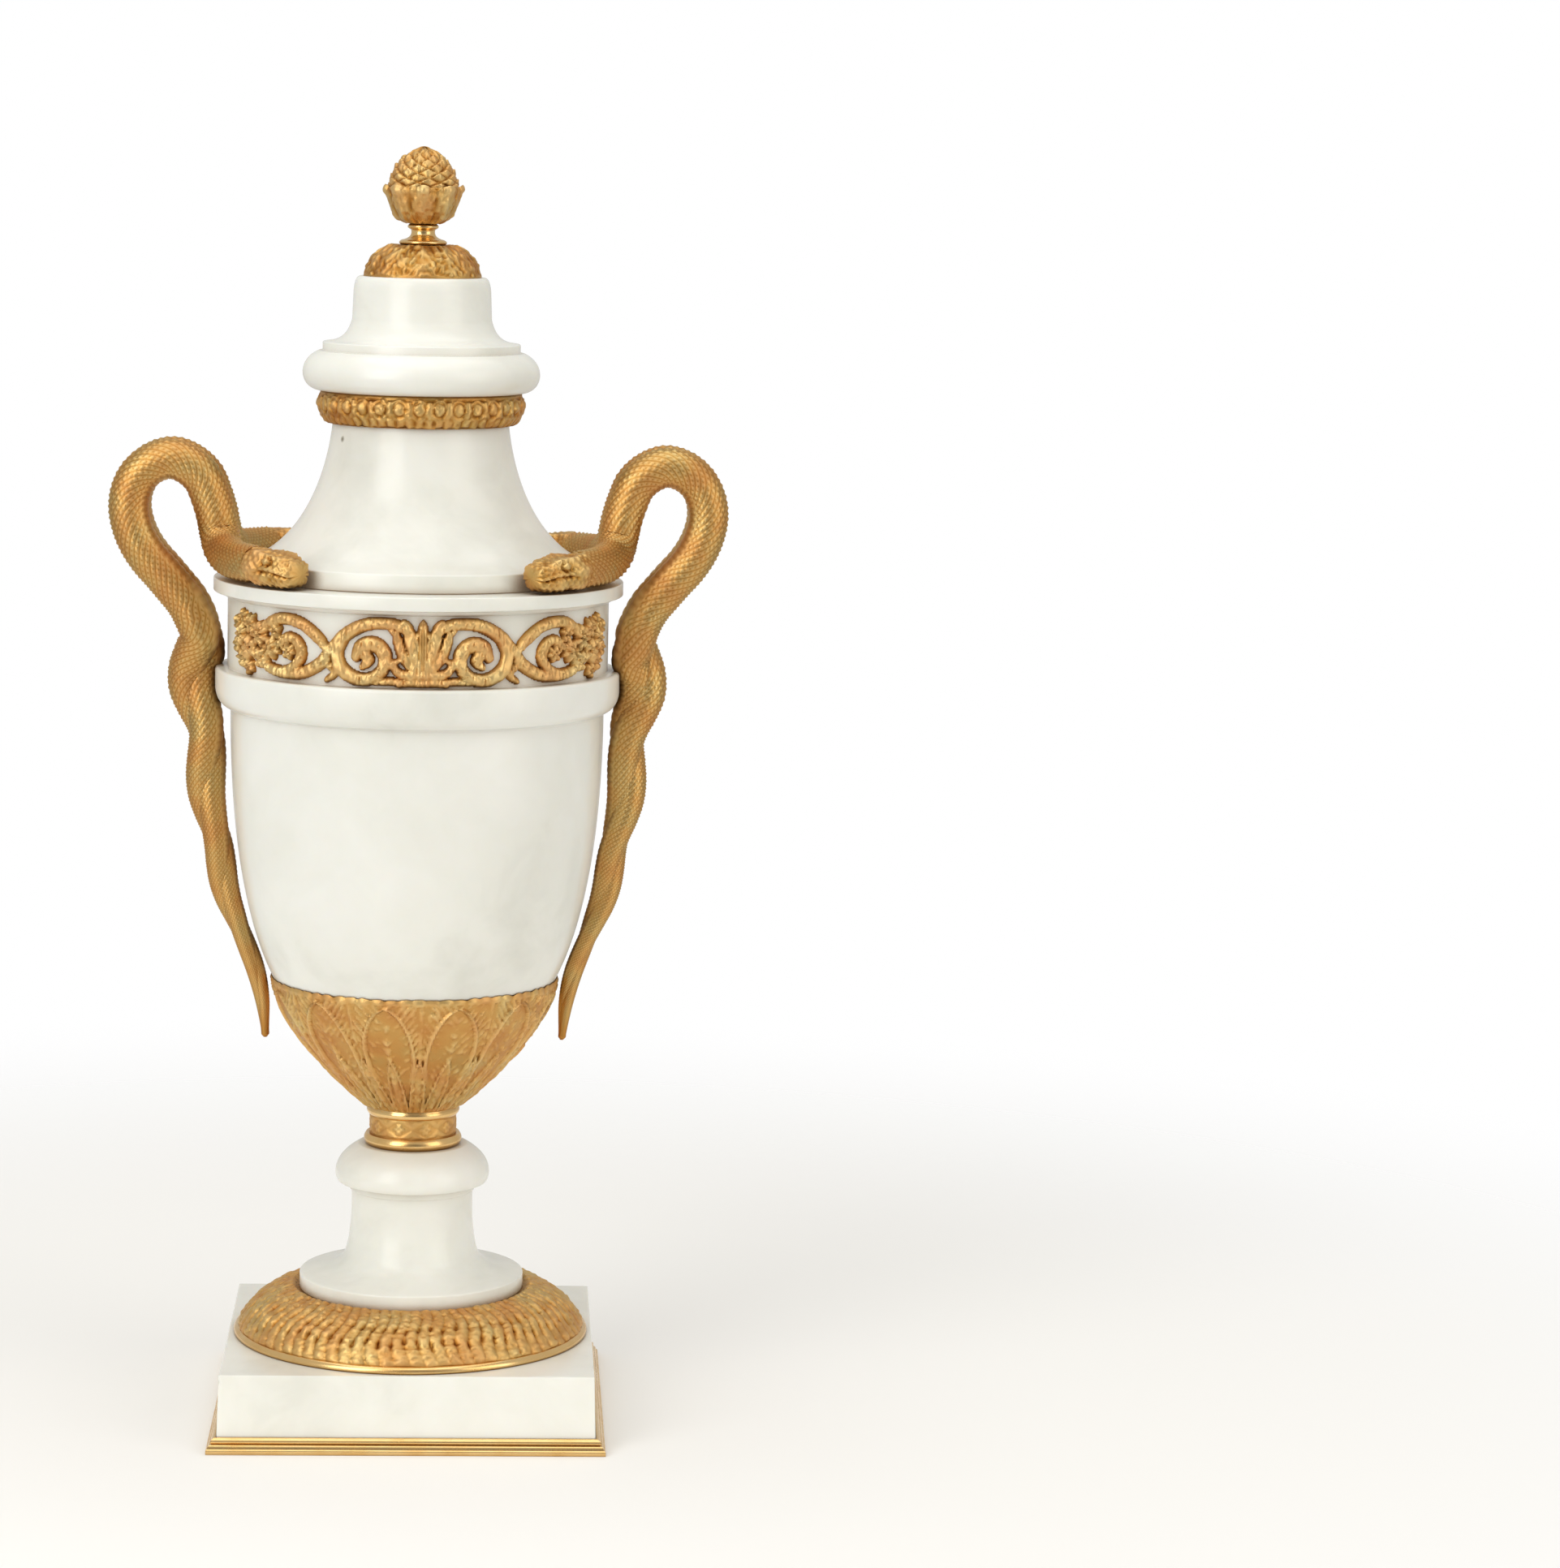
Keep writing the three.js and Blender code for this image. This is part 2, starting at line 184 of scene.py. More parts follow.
def eased(rows, radius):
    """Rounds each corner of an outline, as polishing does."""
    made = [rows[0]]
    for before, here, after in zip(rows, rows[1:], rows[2:]):
        back, ahead = before - here, after - here
        angle = pi - math.acos(np.clip(back @ ahead / np.hypot(*back) / np.hypot(*ahead), -1, 1))
        if angle < CORNER:
            made.append(here)
            continue
        start = here + back * min(radius / np.hypot(*back), 0.45)
        end = here + ahead * min(radius / np.hypot(*ahead), 0.45)
        made.extend(curve(start, here, end, steps=4))
    return np.array([*made, rows[-1]])


def fine(rows, step):
    """Divides an outline so that no stretch is longer than `step`."""
    made = [rows[:1]]
    for start, end in zip(rows, rows[1:]):
        count = math.ceil(np.hypot(*(end - start)) / step)
        made.append(start + (end - start) * (np.arange(1, count + 1) / count)[:, None])
    return np.vstack(made)


def turned(name, rows, sides, relief=None, depth=1.0):
    """A turned piece. `relief(turn, radius, height)` moves its skin outward, in millimetres.

    The outline runs up the outside. It starts and ends on the axis, or closes on itself. Relief
    that stands `depth` high is painted brightest, as wear and a painted highlight.
    """
    ring = np.allclose(rows[0], rows[-1])
    if ring:
        rows = rows[:-1]
    ahead = np.roll(rows, -1, 0) - np.roll(rows, 1, 0)
    if not ring:
        ahead[0], ahead[-1] = rows[1] - rows[0], rows[-1] - rows[-2]
    ahead /= np.hypot(*ahead.T)[:, None]
    turn = all_round(sides)[:, None]
    radius, height = rows[:, 0][None, :], rows[:, 1][None, :]
    lift = np.zeros((sides, len(rows))) + (relief(turn, radius, height) if relief else 0)
    out = radius + ahead[:, 1] * lift
    points = np.stack([out * np.cos(turn), out * np.sin(turn), height - ahead[:, 0] * lift], -1)
    index = np.arange(points.shape[0] * points.shape[1]).reshape(points.shape[:2])
    if not ring:
        for column in (0, -1):
            if rows[column, 0] < 1e-6:
                index[:, column] = index[0, column]
    quads = cells(np.pad(index, ((0, 1), (0, int(ring))), "wrap")).reshape(-1, 4)
    faces = [[c for i, c in enumerate(q) if c != q[i - 1]] for q in quads.tolist()]
    used, places = np.unique(np.concatenate(faces), return_inverse=True)
    sizes = np.cumsum([0] + [len(f) for f in faces])
    faces = [places[a:b].tolist() for a, b in zip(sizes, sizes[1:])]
    chased = np.clip(0.5 + 0.5 * lift / depth, 0, 1).reshape(-1)[used] if relief else None
    return build_mesh(name, points.reshape(-1, 3)[used], faces, chased)


def smooth(x, low, high):
    """Rises softly from 0 at `low` to 1 at `high`."""
    share = np.clip((x - low) / (high - low), 0, 1)
    return share * share * (3 - 2 * share)


def ridge(x, half):
    """A rounded ridge of height 1 and the given half width."""
    return np.sqrt(np.clip(1 - (x / half) ** 2, 0, 1))


def bump(x, width):
    """A soft bump of height 1, which is 0.37 high at `width` from its middle."""
    return np.exp(-(x / width) ** 2)


LUMP_ROWS = 97


def lumps(turn, height, across, tall, seed):
    """Soft uneven lumps, `across` of them round a piece and each `tall` millimetres high, -1 to 1."""
    turn, height = np.broadcast_arrays(turn, height)
    table = np.random.default_rng(seed).uniform(-1, 1, (across, LUMP_ROWS))
    column, row = turn * across / tau, height / tall
    left, below = np.floor(column).astype(int), np.floor(row).astype(int)
    aside, above = smooth(column - left, 0, 1), smooth(row - below, 0, 1)

    def at(right, up):
        return table[(left + right) % across, (below + up) % LUMP_ROWS]

    low = at(0, 0) * (1 - aside) + at(1, 0) * aside
    high = at(0, 1) * (1 - aside) + at(1, 1) * aside
    return low * (1 - above) + high * above


def all_round(count):
    """The directions of `count` evenly spaced points round a circle."""
    return np.linspace(0, tau, count, endpoint=False)


def from_middle(turn, count, shift=0.0):
    """How far a direction is from the nearest of `count` middles: 0 there, 1 halfway between."""
    place = turn * count / tau + shift
    return 2 * np.abs(place - np.round(place))


# Materials

def polished_marble():
    """White statuary marble, ground and polished with wax, that glows softly as light enters it."""
    material, tree, shader, place = new_material("polished_white_marble")
    # Clouds are about 45 mm across and bend like the stone's bedding
    bend = noise(tree, place, 14.0, 3.0, output="Color")
    bent = put(tree, "ShaderNodeVectorMath", {0: bend, "Scale": 0.05}, operation="SCALE")
    moved = put(tree, "ShaderNodeVectorMath", {0: place, 1: bent.outputs[0]}, operation="ADD")
    clouds = noise(tree, moved.outputs[0], 22.0, 5.0, 0.55)
    cloud_tone = ramp(tree, clouds, (0.3, "#DFDFD6"), (0.48, "#ECECE4"), (0.7, "#F2F2EC"))
    # Pits are up to 2 mm across. Points some 35 mm apart make one where they come near the surface
    pits = put(tree, "ShaderNodeTexVoronoi", {"Vector": place, "Scale": 40.0})
    pit_shape = mapped(tree, pits.outputs["Distance"], 0.02, 0.055, 1.0, 0.0)
    pick = put(tree, "ShaderNodeSeparateColor", {"Color": pits.outputs["Color"]})
    few = put(tree, "ShaderNodeMath", {0: pick.outputs[0], 1: 0.7}, operation="GREATER_THAN")
    pit = put(tree, "ShaderNodeMath", {0: pit_shape, 1: few.outputs[0]}, operation="MULTIPLY").outputs[0]
    pitted = mixed(tree, pit, cloud_tone, linear("#8F8775"))
    dent = put(tree, "ShaderNodeBump", {"Height": pit, "Strength": 0.4, "Distance": 0.0004}, invert=True)
    # Painted shade with old wax and dust darkens the stone within 6 mm of another piece, most in the last 2
    # mm
    soiled_and_shaded = mixed(tree, closeness(tree, 0.006, 0.25), pitted, linear("#A08058"))
    # The wax is thinner and thicker in patches of some 17 mm
    gloss = mapped(tree, noise(tree, place, 60.0, 3.0), 0.0, 1.0, 0.17, 0.3)
    wire(shader, {"Base Color": soiled_and_shaded, "Roughness": gloss, "Normal": dent.outputs[0], "IOR": 1.49,
                  "Subsurface Weight": 0.2, "Subsurface Radius": (1.0, 0.75, 0.5),
                  "Subsurface Scale": 0.004})
    return material


def gilt_bronze(slot, tones, roughness, grain, is_chased):
    """Cast bronze gilt with mercury: a warm pale gold, redder and greener in patches.

    Chased parts are matt, painted darker in their grooves as shade and brighter on their ridges as wear
    and a painted highlight. Turned parts are burnished with agate.
    """
    material, tree, shader, place = new_material(slot)
    # The patches are about 12 mm across
    patches = noise(tree, place, 85.0, 4.0)
    tone = ramp(tree, patches, *zip((0.34, 0.5, 0.66), tones))
    if is_chased:
        # Low relief is painted darker as shade in the grooves, high relief brighter as wear and a painted
        # highlight
        relief_wear_and_light = put(tree, "ShaderNodeAttribute", attribute_name="chased").outputs["Fac"]
        depth = ramp(tree, relief_wear_and_light, (0.0, "#96703F"), (0.3, "#CDAE7C"), (0.6, "#F0E6D4"), (1.0, "#FFFFFF"))
        tone = mixed(tree, 1.0, tone, depth, blend_type="MULTIPLY")
    # Painted shade with old dirt darkens the gilt within 3 mm of where two forms meet
    soiled_and_shaded = mixed(tree, closeness(tree, 0.003, 0.15), tone, linear("#5E3F16"))
    rub = mapped(tree, patches, 0.3, 0.7, roughness + 0.07, roughness - 0.05)
    # The matting punch leaves a grain of about 0.5 mm
    punch = noise(tree, place, 1900.0, 2.0)
    matting = put(tree, "ShaderNodeBump", {"Height": punch, "Strength": grain, "Distance": 0.0003})
    wire(shader, {"Base Color": soiled_and_shaded, "Roughness": rub, "Normal": matting.outputs[0], "Metallic": 1.0})
    return material, slot


MARBLE = (polished_marble(), "white_marble")
MATT = gilt_bronze("matt_gilt_bronze", ("#E0B074", "#E6BE7E", "#E0C488"), 0.47, 0.3, True)
BURNISHED = gilt_bronze("burnished_gilt_bronze", ("#E8BC78", "#EEC686", "#F0CC8E"), 0.22, 0.04, False)

# Levels and radii shared with the part's source
PLINTH_TOP, FOOT_SEAT, FOOT_TOP, COLLAR_TOP = 27.2, 43.6, 96.0, 110.0
BODY_SEAT, CUP_RIM, DRUM_FOOT, BODY_TOP = 113.5, 156.5, 267.5, 299.1
BAND_FOOT, NECK_TOP, LID_TOP, CAP_TOP, FINIAL_TOP = 353.4, 364.9, 404.8, 415.8, 450.0
PLINTH_SIDE, PLINTH_TOP_SIDE, TRIM_SIDE, TRIM_HEIGHT = 131.7, 130.1, 138.5, 5.5
DRUM_RADIUS, MIDDLE_FLANGE, TOP_FLANGE = 67.0, 71.3, 72.0


# Plinth and its moulding

def plinth_block():
    """A square block that narrows upward, its edges eased and here and there chipped."""
    half, tall = PLINTH_SIDE / 2, PLINTH_TOP / 2
    near_edge = np.array([0, 0.25, 0.5, 0.8, 1.3, 2.5])

    def spaced(reach):
        inner = np.linspace(-reach + 4, reach - 4, int(2 * reach / 4))
        return np.concatenate([-reach + near_edge, inner, (reach - near_edge)[::-1]])

    reach = np.array([half, half, tall])
    points, faces = [], []
    for axis in range(3):
        first, second = (axis + 1) % 3, (axis + 2) % 3
        for side in (-1, 1):
            grid = np.meshgrid(spaced(reach[first]), spaced(reach[second]), indexing="ij")
            index = np.arange(grid[0].size).reshape(grid[0].shape) + sum(map(len, points))
            faces.extend(cells(index)[..., ::side].reshape(-1, 4).tolist())
            face = np.full((grid[0].size, 3), side * reach[axis])
            face[:, first], face[:, second] = grid[0].ravel(), grid[1].ravel()
            points.append(face)
    points = np.vstack(points)
    # Chips and wear widen the easing in places along the edges
    waves = ((0.21, 0.13, 0.4), 1.0), ((0.37, 0.45, 0.3), 2.1), ((0.9, 0.7, 1.1), 0.4)
    wave = sum(np.sin(points @ np.array(way) + start) for way, start in waves)
    easing = (0.45 + 1.1 * smooth(wave, 1.7, 2.7))[:, None]
    core = np.clip(points, -reach + easing, reach - easing)
    out = points - core
    points = core + out * easing / np.maximum(np.linalg.norm(out, axis=1, keepdims=True), 1e-9)
    points[:, :2] *= 1 - (points[:, 2:] + tall) / (2 * tall) * (1 - PLINTH_TOP_SIDE / PLINTH_SIDE)
    points[:, 2] += tall
    mesh = build_mesh("plinth_block", points, faces)
    # The six faces share their edges' points
    work = bmesh.new()
    work.from_mesh(mesh)
    bmesh.ops.remove_doubles(work, verts=work.verts, dist=1e-6)
    work.to_mesh(mesh)
    work.free()
    mesh.shade_smooth()
    mesh.set_sharp_from_angle(angle=radians(35))
    return mesh


dress(plinth_block(), *MARBLE, "plinth")


def moulding():
    """The moulding mitred around the plinth's foot: a flat band, a hollow and a bead."""
    inner, outer, tall = PLINTH_SIDE / 2 + 0.02, TRIM_SIDE / 2, TRIM_HEIGHT
    section = outline((inner, 0), (outer, 0), (outer, 1.5), (outer - 0.5, 1.9),
                      curve((outer - 0.6, 1.9), (outer - 0.7, 3.2), (outer - 2.0, 3.4), steps=8),
                      curve((outer - 2.0, 3.5), (outer - 1.2, 4.2), (outer - 2.0, 4.9), steps=6),
                      (inner + 0.5, tall), (inner, tall))
    section = eased(outline(section, section[:1]), 0.2)[:-1]
    out, up = section.T
    points = np.vstack([np.stack([x * out, y * out, up], -1)
                        for x, y in ((1, -1), (1, 1), (-1, 1), (-1, -1))])
    index = np.pad(np.arange(len(points)).reshape(4, -1), (0, 1), "wrap")
    return build_mesh("plinth_moulding", points, cells(index).reshape(-1, 4).tolist(), smooth_angle=30)


dress(moulding(), *BURNISHED, "plinth_trim")


# Foot: the ring of leaves, the marble foot and the collar

FINGERS, RING_LEAVES = 78, 26
DOME_FOOT, DOME_EDGE = 29.2, 62.0
ring_dome = fine(curve((DOME_EDGE, DOME_FOOT), (57.4, 40.2), (42.4, 44.6), steps=24), 0.38)
dome_share = np.r_[0, np.cumsum(np.hypot(*np.diff(ring_dome, axis=0).T))]
dome_share /= dome_share[-1]


def ring_leaves(turn, radius, height):
    """Lobed leaves laid outward like fingers, with drilled slits between their lobes."""
    inward = np.interp(radius, ring_dome[::-1, 0], dome_share[::-1])
    spread = from_middle(turn, RING_LEAVES)
    bend = 0.3 * np.sin(tau * inward + 3 * lumps(turn, radius, 13, 60, 21))
    finger = from_middle(turn, FINGERS, bend)
    body = ridge(finger, 1.1)
    tip = ridge(1 - np.clip((inward - 0.02 * spread) / 0.09, 0, 1), 1.0)
    beside = (1 - finger) * pi * radius / FINGERS
    first = np.exp(-(beside ** 2 + ((inward - 0.3 - 0.1 * spread) * 12) ** 2) / 0.6)
    second = np.exp(-(beside ** 2 + ((inward - 0.62 + 0.08 * spread) * 12) ** 2) / 0.5)
    knuckle = np.cos(tau * (inward * 3.0 - 0.4 * spread))
    rough = lumps(turn, inward * 22, 230, 0.9, 5) + 0.7 * lumps(turn, inward * 22, 110, 1.9, 6)
    leaf = body * (0.85 + 0.1 * knuckle) + 0.24 * rough
    on_dome = smooth(radius, 41.5, 43.0) * (height > DOME_FOOT) * (radius < DOME_EDGE)
    return on_dome * (tip * (1.15 * leaf - 0.8 * first - 0.6 * second) - 0.5)


low = PLINTH_TOP + 1.2
ring_rows = outline((32, low), (DOME_EDGE, low), ring_dome, (40.9, 43.7), (32, FOOT_SEAT), (32, low))
dress(turned("foot_ring_leaves", ring_rows, 680, ring_leaves), *MATT, "foot_ring")
FILLET_TOP = PLINTH_TOP + 2.6
fillet_side = curve((63.3, PLINTH_TOP + 0.3), (63.7, PLINTH_TOP + 1.8), (62, FILLET_TOP), steps=9)
fillet_rows = outline((57, PLINTH_TOP), (63.0, PLINTH_TOP), fillet_side, (57, FILLET_TOP), (57, PLINTH_TOP))
dress(turned("foot_ring_fillet", fillet_rows, 200), *BURNISHED, "foot_ring")

foot_rows = outline((0, FOOT_SEAT), (40, FOOT_SEAT),
                    curve((40, 49), (35, 50.6), (25.5, 50.4), (23.6, 57), steps=16),
                    curve((23.6, 57), (21.7, 63.5), (21.6, 74), steps=8),
                    (21.6, 79.5), (22.4, 79.5), (22.4, 82.5),
                    curve((26.6, 82.5), (28.8, 86), (27.2, 92), (19.4, FOOT_TOP), steps=16),
                    (0, FOOT_TOP))
dress(turned("foot_turned", eased(foot_rows, 0.45), 96), *MARBLE, "foot")

BAND_LOW, BAND_HIGH, COLLAR_RADIUS, COLLAR_FLOWERS = 100, 107, 15.5, 10
collar_rings = (
    outline((13, FOOT_TOP), curve((16.6, FOOT_TOP), (18.3, 98), (16.6, BAND_LOW), steps=10),
            (13, BAND_LOW), (13, FOOT_TOP)),
    outline((13, BAND_HIGH), curve((15.8, BAND_HIGH), (17.1, 108.3), (16.2, 109.8), steps=10),
            (16.2, COLLAR_TOP), (13, COLLAR_TOP), (13, BAND_HIGH)))
for name, rows in zip(("collar_lower_ring", "collar_upper_ring"), collar_rings):
    dress(turned(name, rows, 96), *BURNISHED, "collar")


def collar_flowers(turn, radius, height):
    """Small flowers with pairs of leaves between them, much effaced by wear."""
    outside = radius > 14
    across = from_middle(turn, COLLAR_FLOWERS) * pi * COLLAR_RADIUS / COLLAR_FLOWERS
    up = height - (BAND_LOW + BAND_HIGH) / 2
    away = np.hypot(across, up)
    petals = 0.8 + 0.2 * np.cos(5 * np.arctan2(up, across))
    flower = ridge(away / petals, 2.2) * 0.4 - 0.3 * bump(away, 0.5)
    slant = np.abs(up) + 0.6 * across
    leaf = 0.22 * ridge(slant - 4.1, 1.2) + 0.08 * lumps(turn, height, 60, 1.5, 51)
    return outside * np.maximum(flower, leaf) * smooth(3.3 - np.abs(up), 0.0, 0.5)


# The band runs 0.5 mm into both rings
low, high = BAND_LOW - 0.5, BAND_HIGH + 0.5
collar_curve = curve((COLLAR_RADIUS, low), (14.9, 103.5), (COLLAR_RADIUS, high), steps=10)
collar_rows = outline((0, low), fine(collar_curve, 0.3), (0, high))
dress(turned("collar_band", collar_rows, 240, collar_flowers, 0.8), *MATT, "collar")


# Cup of leaves

CUP_LEAVES, CUP_TURN = 12, 4


def cup_rows(inset, steps=30):
    """The cup's curve, moved inward by `inset`."""
    return curve((16.2 - inset, COLLAR_TOP + inset * 0.9), (27.2 - inset, 119 + inset * 0.6),
                 (48 - inset, 138.5), (50.8 - inset, CUP_RIM), steps=steps)


INNER_CUP = cup_rows(2.2)


def cup_leaves(turn, radius, height):
    """Pointed leaves with raised edges, leafy darts between them and lance leaves below."""
    up = (height - COLLAR_TOP) / (CUP_RIM - COLLAR_TOP)
    half_pitch = pi * radius / CUP_LEAVES
    turned_on = turn - radians(CUP_TURN)
    across = from_middle(turned_on, CUP_LEAVES, 0.5)
    reach = across * half_pitch
    arch = 0.9 * np.clip(1 - (np.clip(up - 0.42, 0, 1) / 0.52) ** 2, 0, 1) ** 0.55
    arch = arch * (0.72 + 0.28 * smooth(up, 0.1, 0.5))
    edge = (arch - across) * half_pitch
    rough = 0.42 * lumps(turn, height, 190, 1.35, 3) + 0.34 * lumps(turn, height, 100, 2.7, 4)
    rib = 1.1 * ridge(edge - 0.8, 0.8) * smooth(up, 0.25, 0.5)
    rib = rib * (1 + 0.25 * lumps(turn, height, 120, 2.2, 14))
    midrib = 0.55 * ridge(reach, 0.8) * (1 - smooth(up, 0.6, 0.85))
    curled = height * 0.33 - reach * 0.36 + 0.3 * lumps(turn, height, 60, 4.0, 15)
    lobes = 0.5 + 0.5 * np.cos(tau * curled)
    leaf = -0.3 + 0.4 * lobes * smooth(edge, 1.4, 2.8) + midrib + rough
    aside = (1 - across) * half_pitch
    curls = 0.5 + 0.5 * np.cos(tau * (height * 0.3 + aside * 0.4))
    slots = bump(aside - 1.6, 0.5) * smooth(up, 0.82, 0.87) * (1 - smooth(up, 0.93, 0.97))
    dart = -0.1 + 0.6 * curls * smooth(aside, 0.5, 1.4) + 0.5 * ridge(aside, 0.7) + rough - 1.6 * slots
    upper = np.maximum(np.where(edge > 0, leaf, dart), rib)
    stem_across = from_middle(turned_on, 2 * CUP_LEAVES)
    stem_edge = (np.clip(1.15 - up / 0.45, 0, 1) ** 0.7 - stem_across) * half_pitch / 2
    stem = 0.15 + 0.6 * ridge(stem_edge - 0.4, 0.5) + 0.4 * ridge(stem_across, 0.3) + 0.6 * rough
    skin = np.where(stem_edge > 0, np.maximum(upper, stem), upper)
    knobs = 0.2 + 0.35 * ridge(from_middle(turn, 66), 0.8) + 0.5 * rough
    skin = skin + (knobs - skin) * smooth(up, 0.962, 0.975)
    outside = smooth(radius - np.interp(height, INNER_CUP[:, 1], INNER_CUP[:, 0]), 1.0, 1.6)
    return outside * np.clip(skin, -1, 1.05) * smooth(up, 0.0, 0.03)


cup_outline = outline((0, COLLAR_TOP), fine(cup_rows(0), 0.46), cup_rows(2.2, 8)[::-1], (0, BODY_SEAT))
dress(turned("leaf_cup", cup_outline, 43 * CUP_LEAVES, cup_leaves), *MATT, "cup")


# Body, neck and lid of marble

body_rows = outline((0, BODY_SEAT), cup_rows(2.5, 8),
                    curve((50.2, CUP_RIM), (59.6, 175), (65.9, 206), (65.8, 253), steps=32),
                    curve((65.8, 253), (70.7, 254), (MIDDLE_FLANGE, 260), steps=8),
                    (MIDDLE_FLANGE, 266.7), (70.7, DRUM_FOOT), (DRUM_RADIUS, DRUM_FOOT),
                    curve((DRUM_RADIUS, 292.4), (68.5, 292.7), (69.5, 294), steps=5),
                    (TOP_FLANGE, 294.4), (TOP_FLANGE, BODY_TOP), (56.3, BODY_TOP),
                    curve((56.3, 250), (56.3, 205), (50, 170), (24, 133), steps=12), (0, 128))
dress(turned("body_turned", eased(body_rows, 0.5), 100), *MARBLE, "body")

neck_rows = outline((46, BODY_TOP), (59.4, BODY_TOP),
                    curve((59.4, 305.5), (45, 310.5), (34, 328), (31, 352.4), steps=30),
                    (31, NECK_TOP), (24.5, NECK_TOP),
                    curve((24.5, 335), (24.5, 318), (34, 308), (46, BODY_TOP), steps=10))
dress(turned("neck_turned", fine(eased(neck_rows, 0.5), 12), 112), *MARBLE, "neck")

lid_rows = outline((0, 392), (12, 390), (19, 378), (19, 359.9), (23.9, 359.9), (23.9, NECK_TOP),
                   curve((36, NECK_TOP), (42.5, 365.5), (44.2, 375), (36, 378.7), steps=24),
                   (34.6, 378.7),
                   curve((34.6, 381.8), (28.5, 382.3), (26, 384), (24.4, 390), steps=16),
                   curve((24, 400), (23.6, 404.4), (22, LID_TOP), steps=6), (0, LID_TOP))
dress(turned("lid_turned", eased(lid_rows, 0.4), 96), *MARBLE, "lid")


# Beaded band around the neck's mouth

BAND_EGGS, BAND_RADIUS = 32, 35.4


def band_eggs(turn, radius, height):
    """Small eggs in leafy cups, with darts between them and a row of leaf tips below."""
    outside = smooth(radius, 32.6, 33.2)
    width = pi * BAND_RADIUS / BAND_EGGS
    across = from_middle(turn, BAND_EGGS) * width
    from_egg = np.hypot(across / 1.9, (height - 360.3) / 2.4)
    egg = 0.8 * ridge(from_egg, 1.0)
    cup = 0.4 * bump(np.hypot(across / 2.8, (height - 359.8) / 3.5) - 1.0, 0.2)
    groove = 0.15 * bump(from_egg - 1.15, 0.12)
    between = from_middle(turn, BAND_EGGS, 0.5) * width
    dart = 0.6 * ridge(between, 0.9) * smooth(height, 356.0, 358.0) * (1 - smooth(height, 362.6, 363.4))
    tips = 0.6 * ridge(from_middle(turn, 2 * BAND_EGGS), 0.85) * ridge(height - 355.4, 1.6)
    rough = 0.3 * lumps(turn, height, 150, 1.2, 8)
    skin = np.maximum.reduce([egg, cup, dart, tips]) - groove - 0.35 + rough
    return outside * skin * (1 - smooth(height, 363.6, 364.2))


band_curve = fine(curve((33.1, BAND_FOOT), (35, 355.8), (38, 359.6), (35, NECK_TOP), steps=14), 0.3)
neck_band_rows = outline((31.4, BAND_FOOT), band_curve, (31.4, NECK_TOP), (31.4, BAND_FOOT))
dress(turned("neck_band_chased", neck_band_rows, 528, band_eggs), *MATT, "neck_band")


# Leaf dome and finial on the lid

CAP_LEAVES, CALYX_LEAVES, CONE_SCALES, CONE_ROW = 12, 8, 9, 3.2
STEM_TOP, CALYX_FOOT, CALYX_RIM = 423.6, 423.2, 436.0


def cap_leaves(turn, radius, height):
    """Leaves that fall over the dome, finely veined, with notched tips at its foot."""
    up = (height - LID_TOP) / (CAP_TOP - LID_TOP)
    leaf = from_middle(turn, CAP_LEAVES)
    reach = leaf * pi * radius / CAP_LEAVES
    veins = np.cos(tau * (reach * 0.42 + height * 0.34))
    midrib = ridge(leaf, 0.16)
    cleft = smooth(leaf, 0.84, 1.0)
    tip = ridge(1 - np.clip((up - 0.1 * leaf) / 0.14, 0, 1), 1)
    rough = 0.34 * lumps(turn, height, 84, 1.1, 12) + 0.26 * lumps(turn, height, 45, 2.2, 13)
    on_dome = (radius > 11) * (height > LID_TOP + 0.2)
    return (0.1 * veins + 0.2 * midrib - 0.25 * cleft + rough - 0.15) * tip * on_dome


cap_curve = fine(curve((20.6, LID_TOP), (19.9, 412.2), (12, CAP_TOP), steps=24), 0.3)
cap_rows = outline((0, LID_TOP), cap_curve, (8, CAP_TOP), (0, CAP_TOP))
dress(turned("lid_leaf_dome", cap_rows, 300, cap_leaves, 0.8), *MATT, "lid_cap")

stem_rows = outline((0, CAP_TOP), curve((7.6, CAP_TOP), (9.2, 416.7), (7.4, 417.6), steps=8),
                    curve((7.4, 417.6), (3.6, 418.3), (4.2, 421), steps=8),
                    curve((4.4, 421.2), (6.1, 421.9), (5.0, 422.9), steps=8), (4, STEM_TOP), (0, STEM_TOP))
dress(turned("finial_stem", stem_rows, 64), *BURNISHED, "finial")


def cone_scales(turn, radius, height):
    """A cup of leaves with curled tips, and the overlapping scales of a cone above it."""
    leaf = from_middle(turn, CALYX_LEAVES)
    low = (height - CALYX_FOOT) / 12
    calyx = 0.5 * ridge(leaf, 0.95) + 0.3 * ridge(leaf, 0.2) - 0.3
    curl = 0.95 * ridge(leaf, 0.5) * smooth(low, 0.76, 1.0)
    row = (height - CALYX_RIM) / CONE_ROW
    place = turn * CONE_SCALES / tau
    left, right = (row + place) % 1, (row - place) % 1
    share = np.minimum(left, right)
    edge = np.minimum.reduce([share, 1 - left, 1 - right])
    scale = (share + 0.3) * smooth(edge, 0.0, 0.18)
    cone = scale * np.clip((449.6 - height) / 4, 0, 1)
    rough = 0.3 * lumps(turn, height, 60, 1.3, 9)
    skin = np.where(height < CALYX_RIM - 0.2, (calyx + curl) * smooth(low, 0.0, 0.15), cone - 0.25) + rough
    return skin * (radius > 0.4) * (height > CALYX_FOOT + 0.1)


